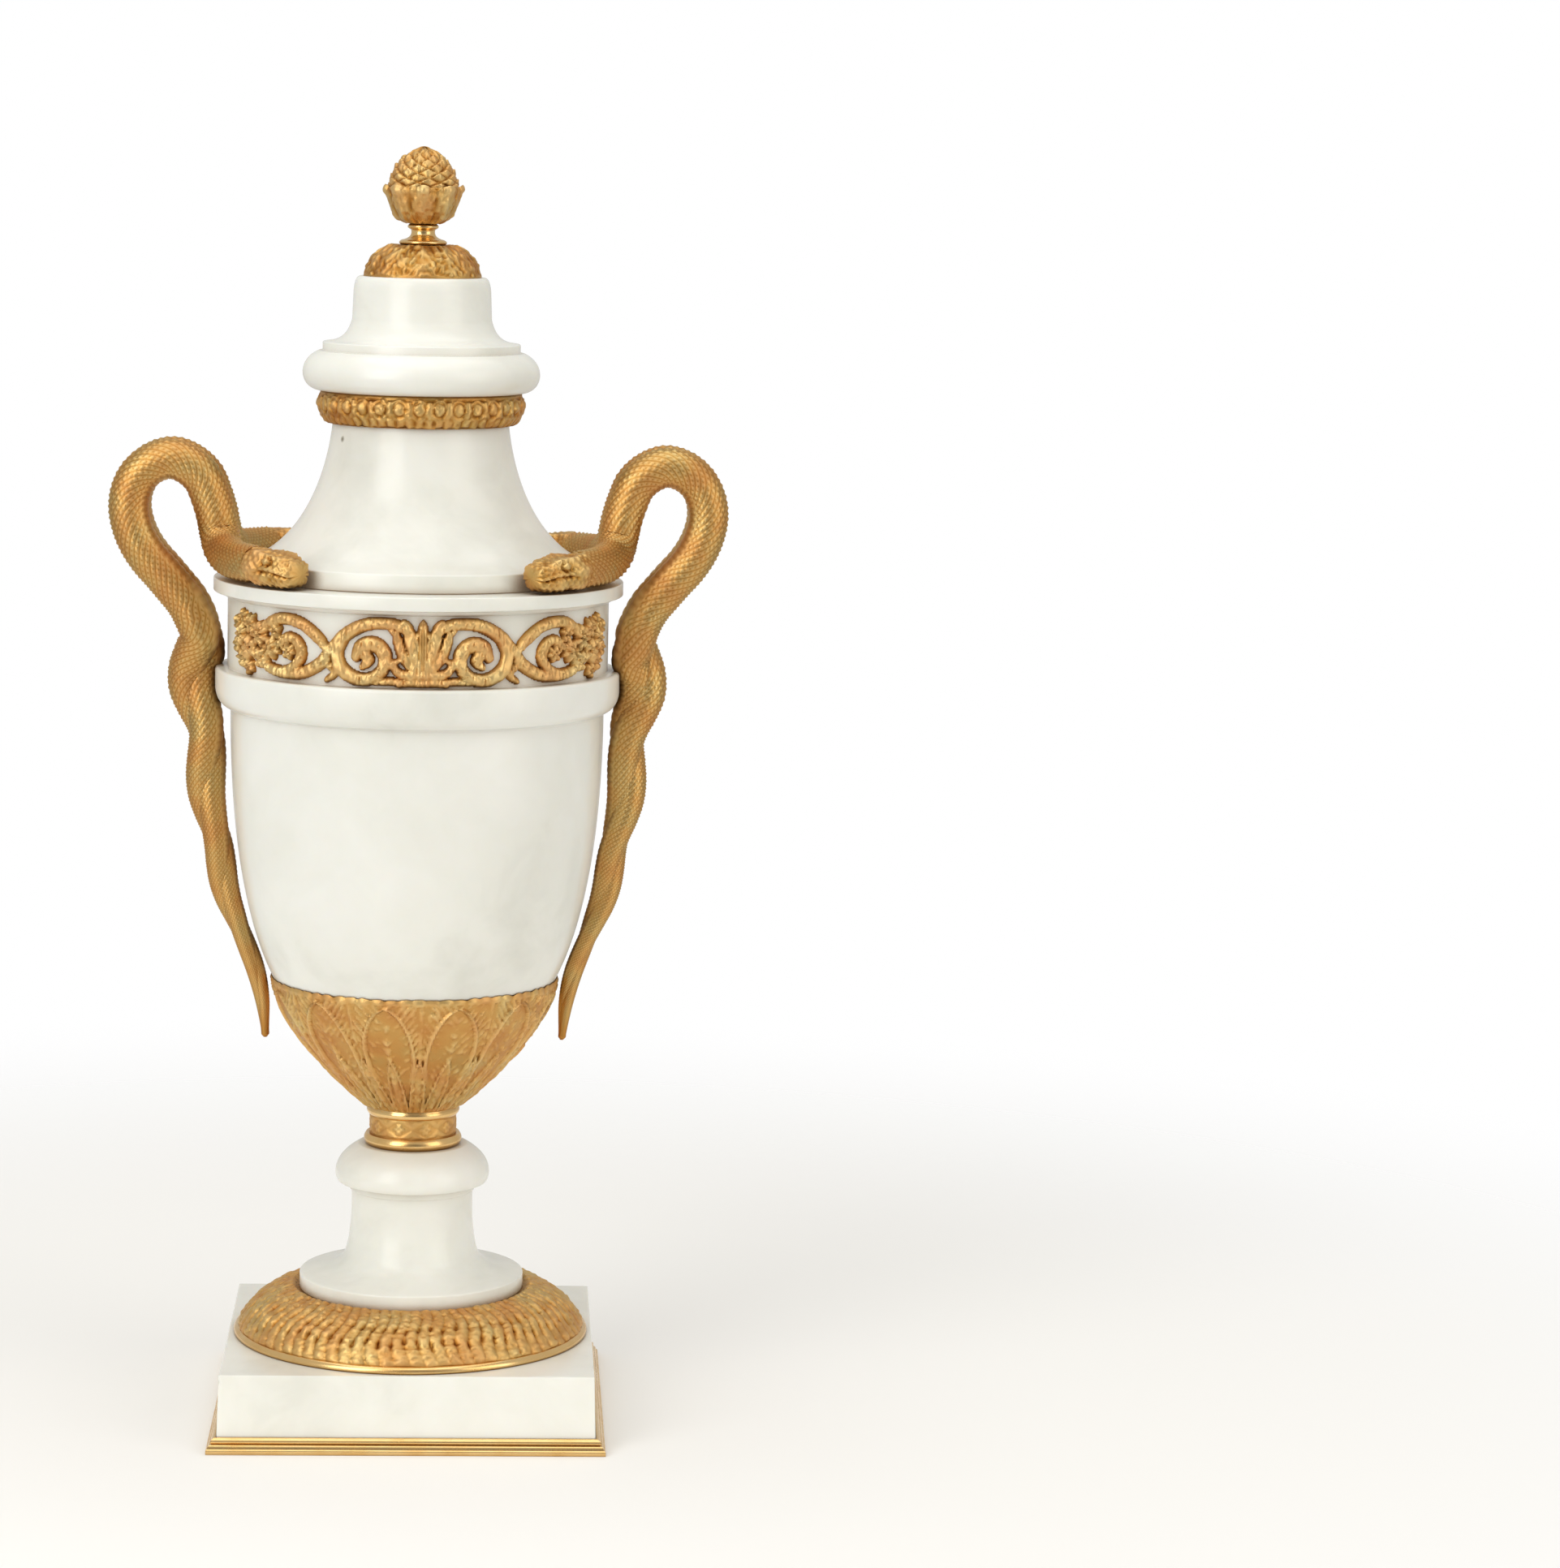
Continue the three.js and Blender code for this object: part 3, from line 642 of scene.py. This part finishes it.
cone_rows = outline((0, CALYX_FOOT),
                    curve((5.2, CALYX_FOOT), (9.8, 424), (11.8, 428.2), (12.9, 435.0), steps=16),
                    curve((12.9, 435.0), (12.6, CALYX_RIM), (11.9, 435.9), steps=4),
                    curve((11.9, 435.9), (11.7, 440.6), (7.8, 446.6), (2.6, 449.2), steps=16),
                    curve((2.6, 449.2), (1.4, 450), (0, FINIAL_TOP), steps=4))
cone_rows = outline(cone_rows[:1], fine(cone_rows[1:], 0.4))
dress(turned("finial_cone", cone_rows, 192, cone_scales, 0.8), *MATT, "finial")


# Scroll plaques on the drum. A place is (arc along the drum from the plaque's middle, height)

OPEN_GROUND, PLAQUE_REACH, PLAQUE_GRID = -9.0, 84.0, 0.5


def spline(rows):
    """A smooth line through rows of numbers."""
    rows = np.array(rows, float)
    padded = np.vstack([2 * rows[0] - rows[1], rows, 2 * rows[-1] - rows[-2]])
    made = []
    for a, b, c, d in zip(padded, padded[1:], padded[2:], padded[3:]):
        t = np.linspace(0, 1, 12, endpoint=False)[:, None]
        made.append(0.5 * (2 * b + (c - a) * t + (2 * a - 5 * b + 4 * c - d) * t ** 2
                           + (3 * b - a - 3 * c + d) * t ** 3))
    return np.vstack([*made, rows[-1:]])


def strap(arc, height, rows, rise):
    """A rounded strap along a line of (arc, height, half width)."""
    line = spline(rows)
    best = np.full(arc.shape, OPEN_GROUND)
    for start, end in zip(line, line[1:]):
        step = end[:2] - start[:2]
        share = np.clip(((arc - start[0]) * step[0] + (height - start[1]) * step[1]) / (step @ step), 0, 1)
        away = np.hypot(arc - start[0] - share * step[0], height - start[1] - share * step[1])
        half = start[2] + share * (end[2] - start[2])
        swell = np.where(away < half, rise * ridge(away, half) ** 0.8, -2 * (away - half))
        best = np.maximum(best, swell)
    return best


def rosette(arc, height, middle, radius, rise, petals):
    """A flower or fruit: a domed boss with petals around a sunk eye."""
    across, up = arc - middle[0], height - middle[1]
    away = np.hypot(across, up)
    wave = np.cos(petals * np.arctan2(up, across) + middle[0])
    lobed = radius * (0.86 + 0.14 * wave)
    dome = rise * ridge(away, lobed) ** 0.7 * (0.82 + 0.18 * wave)
    eye = 1.1 * bump(away, 0.22 * radius)
    heart = 0.9 * bump(away, 0.12 * radius)
    return np.where(away < lobed, dome - eye + heart, -2 * (away - lobed))


SCROLLS = (
    ([(2.5, 284.6, 1.6), (7, 288.4, 2), (13, 289.8, 2.1), (20, 288.9, 2.2), (26.5, 285.4, 2.4),
      (31.4, 280.2, 2.4), (36.4, 274.8, 2.3), (43, 271.4, 2.1), (50, 270.6, 2.1), (58, 271.8, 2),
      (64, 275.2, 1.5)], 2.3),
    ([(26.5, 284.2, 1.4), (29.4, 279.4, 2.1), (28.2, 274.2, 2.5), (23.4, 270.8, 2.5),
      (17.6, 270.8, 2.3), (13.4, 274.2, 2.3), (13, 279.2, 2.6), (16.6, 282.6, 2.7), (21, 281.6, 2.5),
      (22.6, 278.2, 1.9)], 2.6),
    ([(20.5, 280.5, 1.9), (18.4, 277.2, 2.1), (20.4, 274.8, 1.2)], 2.2),
    ([(33, 279.5, 1.3), (36.6, 283.4, 2.1), (42.4, 287.4, 2.1), (49, 289.2, 2.1), (56, 288.4, 2.1),
      (62, 285.2, 1.6)], 2.2),
    ([(54, 271, 1.3), (47.4, 272.8, 1.8), (43.6, 276.8, 2), (45, 281.4, 2.1), (49.6, 283, 1.9),
      (52.6, 280.4, 1.5)], 2.2),
    ([(34.5, 276, 1.2), (30.5, 272.4, 1.5), (33.5, 269.6, 1)], 1.7),
    ([(6.5, 269.6, 1.3), (11.5, 270, 1.5), (16.5, 269.4, 1)], 1.9),
)
PALMETTE = (
    ([(0, 272.5, 2.2), (0, 278, 2.2), (0, 284, 2.4), (0, 288.2, 1.7), (0, 290.4, 0.6)], 2.6),
    ([(1.0, 273.5, 2.0), (2.9, 279, 2.0), (4.4, 284.4, 2.1), (4.9, 288.2, 1.6), (6.4, 290.4, 0.9)], 2.3),
    ([(1.6, 273.0, 1.6), (5.9, 277.6, 2.0), (8.0, 282.4, 1.9), (8.9, 285.8, 1.4), (10.8, 287.4, 0.8)], 2.0),
    ([(0.6, 272.4, 1.9), (4.4, 272.0, 1.9), (8.4, 273.2, 1.6), (10.0, 276.0, 1.3), (8.0, 277.2, 0.9)], 2.2),
    ([(0, 269.4, 1.5), (4.5, 269.6, 1.6), (8.0, 269.0, 1.2)], 2.0),
)
BUNCH = (((49.0, 278.4), 3.6, 2.6, 6), ((57.0, 279.0), 4.8, 3.2, 7), ((55.6, 284.6), 3.6, 2.6, 5),
         ((62.6, 274.8), 4.3, 3.0, 6), ((63.4, 282.8), 5.0, 3.2, 7), ((69.4, 277.8), 4.9, 3.3, 5),
         ((69.2, 285.8), 4.2, 2.8, 6), ((70.0, 270.9), 3.2, 2.4, 5), ((75.2, 273.6), 3.9, 2.7, 6),
         ((75.8, 281.8), 4.6, 3.0, 7), ((75.2, 288.0), 3.0, 2.1, 5), ((80.4, 277.6), 3.2, 2.2, 5),
         ((80.2, 285.2), 3.0, 2.0, 6))


def plaque(name, turn):
    """Openwork scrolls laid on the drum, with their back in the marble's surface."""
    arcs = np.arange(-PLAQUE_REACH, PLAQUE_REACH + 0.01, PLAQUE_GRID)
    heights = np.arange(DRUM_FOOT + 0.4, 292.2, PLAQUE_GRID)
    arc, height = np.meshgrid(np.abs(arcs), heights, indexing="ij")
    field = np.full(arc.shape, OPEN_GROUND)
    for rows, rise in SCROLLS + PALMETTE:
        field = np.maximum(field, strap(arc, height, rows, rise))
    for middle, radius, rise, petals in BUNCH:
        field = np.maximum(field, rosette(arc, height, middle, radius, rise, petals))
    veins = 0.28 * np.cos(tau * (arc * 0.24 + height * 0.2 * np.sin(arc * 0.12)))
    rough = 0.16 * lumps(arcs[:, None] / 30 + 3, height, 180, 1.2, 31)
    rough = rough + 0.2 * lumps(arc / 30, height, 80, 2.3, 32)
    lift = np.clip(field + (veins + rough) * smooth(field, 0.2, 1.4), -0.4, 9)
    angle = arcs[:, None] / DRUM_RADIUS + radians(turn)

    def laid(out):
        return np.stack([(DRUM_RADIUS + out) * np.sin(angle), -(DRUM_RADIUS + out) * np.cos(angle),
                         np.broadcast_to(heights, arc.shape)], -1).reshape(-1, 3)

    top, back = laid(lift), laid(np.full(arc.shape, -0.6))
    quads = cells(np.arange(arc.size).reshape(arc.shape))
    quads = quads[(field > -0.25).ravel()[quads].any(-1)]
    edges = np.vstack([quads[:, [k, (k + 1) % 4]] for k in range(4)])
    known = set(map(tuple, edges.tolist()))
    rim = [(a, b) for a, b in known if (b, a) not in known]
    walls = [[b, a, a + arc.size, b + arc.size] for a, b in sorted(rim)]
    faces = np.vstack([quads, quads[:, ::-1] + arc.size, walls])
    used, places = np.unique(faces, return_inverse=True)
    # The relief height sets the gilt's painted shade in the grooves and its wear and painted highlight on
    # the ridges
    chased = np.tile(np.clip(0.2 + lift / 2.8, 0, 1).ravel(), 2)
    return build_mesh(name, np.vstack([top, back])[used], places.reshape(-1, 4).tolist(), chased[used], 60)


# The front plaque's middle stands this many degrees from the front, towards +X
FRIEZE_TURN = 2.2
for word, half_turn in (("front", 0), ("back", 180)):
    dress(plaque(f"scroll_plaque_{word}", FRIEZE_TURN + half_turn), *MATT, f"frieze_{word}")


# Serpent handles. The pair's middle line is (distance from the axis, height), from tails to loop

HANDLE_LINE = [(52.8, 134), (54, 147), (56.4, 158), (62, 173), (67.3, 187), (70, 204), (74.2, 222),
               (74.4, 244), (79.4, 262), (76.2, 276), (80.2, 288), (89, 299.1), (97, 309), (101.3, 322),
               (98.4, 333.5), (88, 340), (77.4, 335.5), (72.2, 325), (69.8, 315)]
# The neck and head lie on the upper flange, as (turn from the handle in degrees, distance, height)
HEAD_LINE = [(9, 69, 309.5), (17, 68, 307.1), (30, 67.6, 306.5), (42, 67.6, 306.4), (53, 67.8, 305)]
SNAKE_RADIUS, LOOP_GAP = 6.6, 6.5
TWIST_FOOT, TWIST_PER_MM, TAIL_TIP, TWIST_TOP, LOOP_START = 278.0, 5.1, 133.0, 262.0, 285.0
HEAD_LENGTH, NECK_RADIUS = 25.0, 6.2
LOOP_MIDDLE = (86.5, 0, 318.0)
LINE_POINTS, PATH_POINTS = 41, 1200
SCALES_ROUND, SKIN_STEPS, SCALE_RISE = 18, 4, 0.1
# A scale is 1.3 times as long as it is wide, and no scale is smaller than on a radius of 2.6 mm
SCALE_STRETCH, LEAST_RADIUS = 1.3, 2.6


def unit(rows):
    """Each row scaled to a length of 1."""
    return rows / np.linalg.norm(rows, axis=1, keepdims=True)


def along(at, gone, rows):
    """Points or directions known at the distances `gone`, read off at the distances `at`."""
    return np.stack([np.interp(at, gone, rows[:, k]) for k in range(3)], -1)


def smooth_path(points, count):
    """Points evenly spaced on a smooth curve through the given points, its directions and length."""
    points = np.array(points, float)
    ends = np.vstack([2 * points[0] - points[1], points, 2 * points[-1] - points[-2]])
    made = []
    for a, b, c, d in zip(ends, ends[1:], ends[2:], ends[3:]):
        ab, bc, cd = (np.linalg.norm(q - p) ** 0.5 for p, q in ((a, b), (b, c), (c, d)))
        start = ((b - a) / ab - (c - a) / (ab + bc) + (c - b) / bc) * bc
        end = ((c - b) / bc - (d - b) / (bc + cd) + (d - c) / cd) * bc
        t = np.linspace(0, 1, 60, endpoint=False)[:, None]
        made.append((2 * t ** 3 - 3 * t ** 2 + 1) * b + (t ** 3 - 2 * t ** 2 + t) * start
                    + (3 * t ** 2 - 2 * t ** 3) * c + (t ** 3 - t ** 2) * end)
    dense = np.vstack([*made, points[-1:]])
    gone = np.r_[0, np.cumsum(np.linalg.norm(np.diff(dense, axis=0), axis=1))]
    wanted = np.linspace(0, gone[-1], count)
    even = along(wanted, gone, dense)
    return even, unit(np.gradient(even, axis=0)), gone[-1]


def snake_girth(height, past_loop):
    """A serpent's radius: it grows from the tail's tip to the loop, and is full in the loop."""
    up = np.clip((height - TAIL_TIP) / (TWIST_TOP - TAIL_TIP), 0.02, 1)
    open_share = np.where(past_loop, 1.0, smooth(height, TWIST_TOP, LOOP_START))
    return SNAKE_RADIUS * (0.18 + 0.77 * up ** 0.85 + open_share * (0.82 - 0.77 * up ** 0.85))


def snake_line(side, strand):
    """The line of one serpent: in the loop, strand 1 is in front and strand -1 behind."""
    middle, ahead, _ = smooth_path([(side * out, 0, z) for out, z in HANDLE_LINE], LINE_POINTS)
    past_loop = np.linspace(0, 1, LINE_POINTS) > 0.6
    twist = np.where(past_loop, 0, np.radians(np.maximum(0, TWIST_FOOT - middle[:, 2]) * TWIST_PER_MM))
    open_share = np.where(past_loop, 1.0, smooth(middle[:, 2], TWIST_TOP, LOOP_START))
    close = 0.32 * snake_girth(middle[:, 2], past_loop)
    gap = close + (LOOP_GAP - close) * open_share
    in_plane = np.stack([ahead[:, 2], np.zeros(LINE_POINTS), -ahead[:, 0]], -1)
    offset = -np.sin(twist)[:, None] * in_plane
    offset[:, 1] -= np.cos(twist)
    points = middle + offset * (strand * gap)[:, None]
    head = [(side * r * math.cos(radians(d)), -strand * r * math.sin(radians(d)), z)
            for d, r, z in HEAD_LINE]
    return np.vstack([points, head])


def skin_tree():
    """Nodes that skin a line with a tube of lozenge scales and plates on the belly."""
    tree = bpy.data.node_groups.new("serpent_skin", "GeometryNodeTree")
    for name, kind in (("Line", "Geometry"), ("Scales round", "Int"), ("Steps in a scale", "Int"),
                       ("Scale rise", "Float"), ("Material", "Material")):
        tree.interface.new_socket(name, in_out="INPUT", socket_type=f"NodeSocket{kind}")
    tree.interface.new_socket("Skin", in_out="OUTPUT", socket_type="NodeSocketGeometry")
    given = put(tree, "NodeGroupInput").outputs

    def maths(operation, a, b=0.0, c=0.0):
        return put(tree, "ShaderNodeMath", {0: a, 1: b, 2: c}, operation=operation).outputs[0]

    def shape(kind, sockets=None, **settings):
        return put(tree, f"GeometryNode{kind}", sockets, **settings).outputs[0]

    def stored(name, kind="FLOAT"):
        return shape("InputNamedAttribute", {"Name": name}, data_type=kind)

    line = shape("MeshToCurve", {"Mesh": given["Line"]})
    line = shape("SetCurveNormal", {"Curve": line, "Normal": stored("belly", "FLOAT_VECTOR")}, mode="FREE")
    steps = maths("MULTIPLY", given["Scales round"], given["Steps in a scale"])
    ring = shape("CurvePrimitiveCircle", {"Resolution": steps})
    ring = shape("StoreNamedAttribute",
                 {"Geometry": ring, "Name": "round_share", "Value": shape("SplineParameter")})
    tube = shape("CurveToMesh", {"Curve": line, "Profile Curve": ring, "Scale": stored("girth"),
                                 "Fill Caps": True})
    # Lozenges lie between two sets of grooves that wind opposite ways round the tube
    row = stored("scale_row")
    column = maths("MULTIPLY", stored("round_share"), given["Scales round"])
    domes = []
    for operation in ("ADD", "SUBTRACT"):
        wound = maths("FRACT", maths(operation, row, column))
        side = maths("ABSOLUTE", maths("MULTIPLY_ADD", wound, 2.0, -1.0))
        domes.append(maths("SUBTRACT", 1.0, maths("POWER", side, 1.4)))
    dome = maths("MULTIPLY", domes[0], domes[1])
    plate_side = maths("ABSOLUTE", maths("SUBTRACT", maths("FRACT", row), 0.5))
    plate = maths("SUBTRACT", 0.7, maths("MULTIPLY", maths("POWER", plate_side, 3.0), 3.0))
    facing = maths("COSINE", maths("MULTIPLY", stored("round_share"), tau))
    belly = mapped(tree, facing, 0.62, 0.74, 0.0, 1.0)
    relief = put(tree, "ShaderNodeMix", {0: belly, 2: dome, 3: plate}).outputs[0]
    relief = maths("MULTIPLY", relief, stored("scaled"))
    # Painted shade in the grooves between scales, and wear with a painted highlight on their domes, for the
    # gilt's colour
    scale_wear_and_light = maths("MULTIPLY_ADD", relief, 0.7, 0.34)
    tube = shape("StoreNamedAttribute", {"Geometry": tube, "Name": "chased", "Value": scale_wear_and_light})
    rise = maths("MULTIPLY", maths("MULTIPLY", relief, stored("girth")), given["Scale rise"])
    out = put(tree, "ShaderNodeVectorMath", {0: shape("InputNormal"), "Scale": rise},
              operation="SCALE").outputs[0]
    tube = shape("SetPosition", {"Geometry": tube, "Offset": out})
    tube = shape("SetShadeSmooth", {"Geometry": tube})
    tube = shape("RealizeInstances", {"Geometry": tube})
    tube = shape("SetMaterial", {"Geometry": tube, "Material": given["Material"]})
    put(tree, "NodeGroupOutput", {"Skin": tube})
    return tree


def run_tree(mesh, tree, inputs):
    """Runs a node tree on a mesh with the named inputs, and returns the plain mesh that it makes."""
    carrier = show("carrier", mesh)
    modifier = carrier.modifiers.new("nodes", "NODES")
    modifier.node_group = tree
    for item in tree.interface.items_tree:
        if item.name in inputs:
            modifier[item.identifier] = inputs[item.name]
    bpy.context.view_layer.update()
    graph = bpy.context.evaluated_depsgraph_get()
    made = bpy.data.meshes.new_from_object(carrier.evaluated_get(graph), preserve_all_data_layers=True,
                                           depsgraph=graph)
    bpy.data.objects.remove(carrier)
    bpy.data.meshes.remove(mesh)
    return made


SERPENT_SKIN = skin_tree()


def serpent(name, side, strand):
    """The body of one serpent up to the back of its head, and its path with the distances on it."""
    path, ahead, length = smooth_path(snake_line(side, strand), PATH_POINTS)
    gone = np.linspace(0, length, PATH_POINTS)
    to_snout = length - gone
    girth = snake_girth(path[:, 2], gone > 0.5 * length)
    girth = NECK_RADIUS + (girth - NECK_RADIUS) * smooth(to_snout, 20, 60)
    girth = girth * np.sqrt(np.clip(gone / 0.9, 0.2, 1))
    # The belly faces the partner in the twist, the inside of the loop, and the flange at the head
    to_loop = np.array(LOOP_MIDDLE) * (side, 1, 1) - path
    to_loop[:, 1] = 0
    in_loop = smooth(path[:, 2], 268, 290)[:, None]
    on_flange = (1 - smooth(to_snout, 42, 85))[:, None]
    belly = np.array([-side, 0, -0.35]) * (1 - in_loop) + unit(to_loop) * in_loop
    belly = belly * (1 - on_flange) + np.array([0, strand, -1.0]) * on_flange
    belly = unit(belly - ahead * np.sum(belly * ahead, axis=1, keepdims=True))
    # Rings are spaced by the size of the scales, which shrink towards the tail
    per_mm = SCALES_ROUND / (tau * np.maximum(girth, LEAST_RADIUS)) / SCALE_STRETCH
    rows = np.r_[0, np.cumsum((per_mm[1:] + per_mm[:-1]) / 2 * np.diff(gone))]
    stop = np.interp(length - HEAD_LENGTH + 4, gone, rows)
    wanted = np.arange(0, math.floor(stop * SKIN_STEPS) + 1) / SKIN_STEPS
    at = np.interp(wanted, rows, gone)
    mesh = bpy.data.meshes.new(name)
    mesh.from_pydata((along(at, gone, path) * METRE).tolist(), [(i, i + 1) for i in range(len(at) - 1)], [])
    store(mesh, "girth", np.interp(at, gone, girth) * METRE)
    store(mesh, "scale_row", wanted)
    store(mesh, "scaled", smooth(at, 2, 14))
    sideways = mesh.attributes.new("belly", "FLOAT_VECTOR", "POINT")
    sideways.data.foreach_set("vector", along(at, gone, belly).astype(np.float32).ravel())
    made = run_tree(mesh, SERPENT_SKIN, {"Scales round": SCALES_ROUND, "Steps in a scale": SKIN_STEPS,
                                         "Scale rise": SCALE_RISE, "Material": MATT[0]})
    made.name = name
    return made, path, gone


def serpent_head(name, path, gone):
    """A flat head with brows, eyes, mouth and nostrils, that rests on the flange."""
    rings, around, length = 76, 80, gone[-1]
    share = np.linspace(0, 1, rings) ** 0.85
    at = length - HEAD_LENGTH + share * (HEAD_LENGTH + 2.5)
    onward = unit(path[-1:] - path[-20])
    middle = along(at, gone, path) + np.maximum(at - length, 0)[:, None] * onward
    ahead = unit(np.gradient(middle, axis=0))
    up = unit(np.array([0, 0, 1.0]) - ahead * ahead[:, 2:])
    right = np.cross(ahead, up)
    knots = [0, 0.15, 0.4, 0.62, 0.8, 0.92, 0.98, 1.0]
    wide = np.interp(share, knots, [6.1, 6.6, 7.8, 7.3, 6.5, 5.6, 4.2, 0.01])
    tall = np.interp(share, knots, [6.1, 6.2, 6.4, 6.1, 5.6, 4.8, 3.5, 0.01])
    kernel = np.array([1, 2, 3, 2, 1]) / 9
    for size in (wide, tall):
        size[2:-2] = np.convolve(size, kernel, "valid")
    angle = all_round(around)[None, :]
    share = share[:, None]
    boxy = 2.5
    section = (np.abs(np.cos(angle)) ** boxy + np.abs(np.sin(angle)) ** boxy) ** (-1 / boxy)
    level = np.degrees(np.arctan2(np.sin(angle), np.abs(np.cos(angle))))
    from_back = share * HEAD_LENGTH
    eye_away = np.hypot(from_back - 15, (level - 30) * 0.115)
    eye = 0.9 * ridge(eye_away, 1.25) - 0.7 * bump(eye_away - 1.7, 0.4)
    brow = 1.2 * bump(level - 50, 9) * ridge(share - 0.56, 0.24)
    cheek = 0.9 * bump(from_back - 9, 3) * bump(level + 2, 20)
    wave = 8 * np.sin(7 * share)
    mouth = -0.9 * bump(level + 14 + wave, 5) * smooth(share, 0.4, 0.5)
    lip = 0.5 * bump(level + 3 + wave, 6) * smooth(share, 0.45, 0.6)
    nostril = -0.8 * bump(np.hypot(from_back - 22.5, (level - 36) * 0.08), 0.4 ** 0.5)
    crown = -0.5 * bump(level - 90, 12) * ridge(share - 0.6, 0.35)
    scales = 0.26 * np.cos(share * 70) * np.cos(np.radians(level) * 12)
    rough = 0.22 * lumps(angle, from_back, 34, 1.3, 41) + 0.55 * lumps(angle, from_back, 13, 3.4, 42)
    lift = (eye + brow + cheek + mouth + lip + nostril + crown + scales + rough) * smooth(share, 0.0, 0.16)
    lift = lift * (1 - smooth(share, 0.96, 1.0))
    reach_w = wide[:, None] * section * np.cos(angle)
    reach_h = tall[:, None] * section * np.sin(angle) * np.where(np.sin(angle) > 0, 0.9, 1.0)
    points = (middle[:, None] + right[:, None] * (reach_w + lift * np.cos(angle))[..., None]
              + up[:, None] * (reach_h + lift * np.sin(angle))[..., None])
    points[..., 2] = np.maximum(points[..., 2], BODY_TOP + 0.05)
    index = np.arange(rings * around).reshape(rings, around)
    sides = np.roll(cells(np.pad(index, ((0, 0), (0, 1)), "wrap")), -1, -1).reshape(-1, 4)
    faces = [*sides.tolist(), index[0].tolist(), index[-1][::-1].tolist()]
    # The relief height sets the gilt's painted shade in the hollows and its wear and painted highlight on
    # the raised parts
    return build_mesh(name, points.reshape(-1, 3), faces, np.clip(0.52 + 0.4 * lift, 0, 1), 60)


for word, side in (("left", -1), ("right", 1)):
    for place, strand in (("front", 1), ("back", -1)):
        body, path, gone = serpent(f"serpent_{word}_{place}", side, strand)
        dress(body, *MATT, f"handle_{word}")
        dress(serpent_head(f"serpent_head_{word}_{place}", path, gone), *MATT, f"handle_{word}")


# Floor, light and camera

def pale_floor():
    """A matt white sheet under the vase that fades into the white ground around it."""
    material, tree, shader, place = new_material("white_paper_floor")
    away = put(tree, "ShaderNodeVectorMath", {0: place}, operation="LENGTH").outputs["Value"]
    fade = mapped(tree, away, 0.25, 0.75, 1.0, 0.0, interpolation_type="SMOOTHSTEP")
    wire(shader, {"Base Color": linear("#FBFAF8"), "Roughness": 0.8, "Alpha": fade})
    mesh = bpy.data.meshes.new("floor")
    mesh.from_pydata([(math.cos(turn), math.sin(turn), 0) for turn in all_round(64)], [],
                     [list(range(64))])
    mesh.materials.append(material)
    show("floor", mesh)


def softbox(name, place, width, height, watts, tint):
    """A soft light that faces the middle of the vase."""
    light = bpy.data.lights.new(name, "AREA")
    light.shape, light.size, light.size_y = "RECTANGLE", width, height
    light.energy, light.color = watts, linear(tint)[:3]
    lamp = show(name, light)
    lamp.location = place
    lamp.rotation_euler = (Vector(place) - Vector((0, 0, 0.22))).to_track_quat("Z", "Y").to_euler()


def studio():
    """A white ground for the camera, a pale room that is darker in front, and three softboxes."""
    world = bpy.data.worlds.new("studio")
    scene.world = world
    world.use_nodes = True
    tree = world.node_tree
    tree.nodes.clear()
    direction = put(tree, "ShaderNodeTexCoord").outputs["Generated"]
    to_front = put(tree, "ShaderNodeVectorMath", {0: direction, 1: (0.0, -1.0, 0.05)},
                   operation="DOT_PRODUCT").outputs["Value"]
    dim = mapped(tree, to_front, 0.78, 0.97, 0.78, 0.3, interpolation_type="SMOOTHSTEP")
    room = put(tree, "ShaderNodeBackground", {"Color": linear("#E2E1DD"), "Strength": dim})
    ground = put(tree, "ShaderNodeBackground", {"Color": linear("#FFFFFF")})
    seen = put(tree, "ShaderNodeLightPath").outputs["Is Camera Ray"]
    both = put(tree, "ShaderNodeMixShader", {0: seen, 1: room.outputs[0], 2: ground.outputs[0]})
    put(tree, "ShaderNodeOutputWorld", {"Surface": both.outputs[0]})
    softbox("softbox_left", (-0.95, -1.25, 0.8), 0.9, 1.6, 12.5, "#FFFEFB")
    softbox("softbox_right", (1.3, -0.95, 0.6), 0.9, 1.5, 6, "#FFF8EE")
    softbox("softbox_top", (0, -0.1, 1.7), 1.6, 1.6, 9, "#FFFFFF")


def camera_of_the_photo():
    """The camera, from a fit to the vase's outline in the photograph."""
    yaw, pitch, roll = 0.0632, 0.138, 0.0224
    place, focal_pixels, frame_pixels, film = (25.9, -1630.7, 454.4), 5700, 1932, 36
    data = bpy.data.cameras.new("camera")
    data.sensor_fit, data.sensor_width, data.sensor_height = "VERTICAL", film, film
    data.lens = focal_pixels / frame_pixels * film
    camera = show("camera", data)
    camera.matrix_world = (Matrix.Translation(Vector(place) * METRE) @ Matrix.Rotation(-yaw, 4, "Z")
                           @ Matrix.Rotation(pi / 2 - pitch, 4, "X") @ Matrix.Rotation(roll, 4, "Z"))
    scene.camera = camera
    scene.view_settings.view_transform = "Standard"


pale_floor()
studio()
camera_of_the_photo()
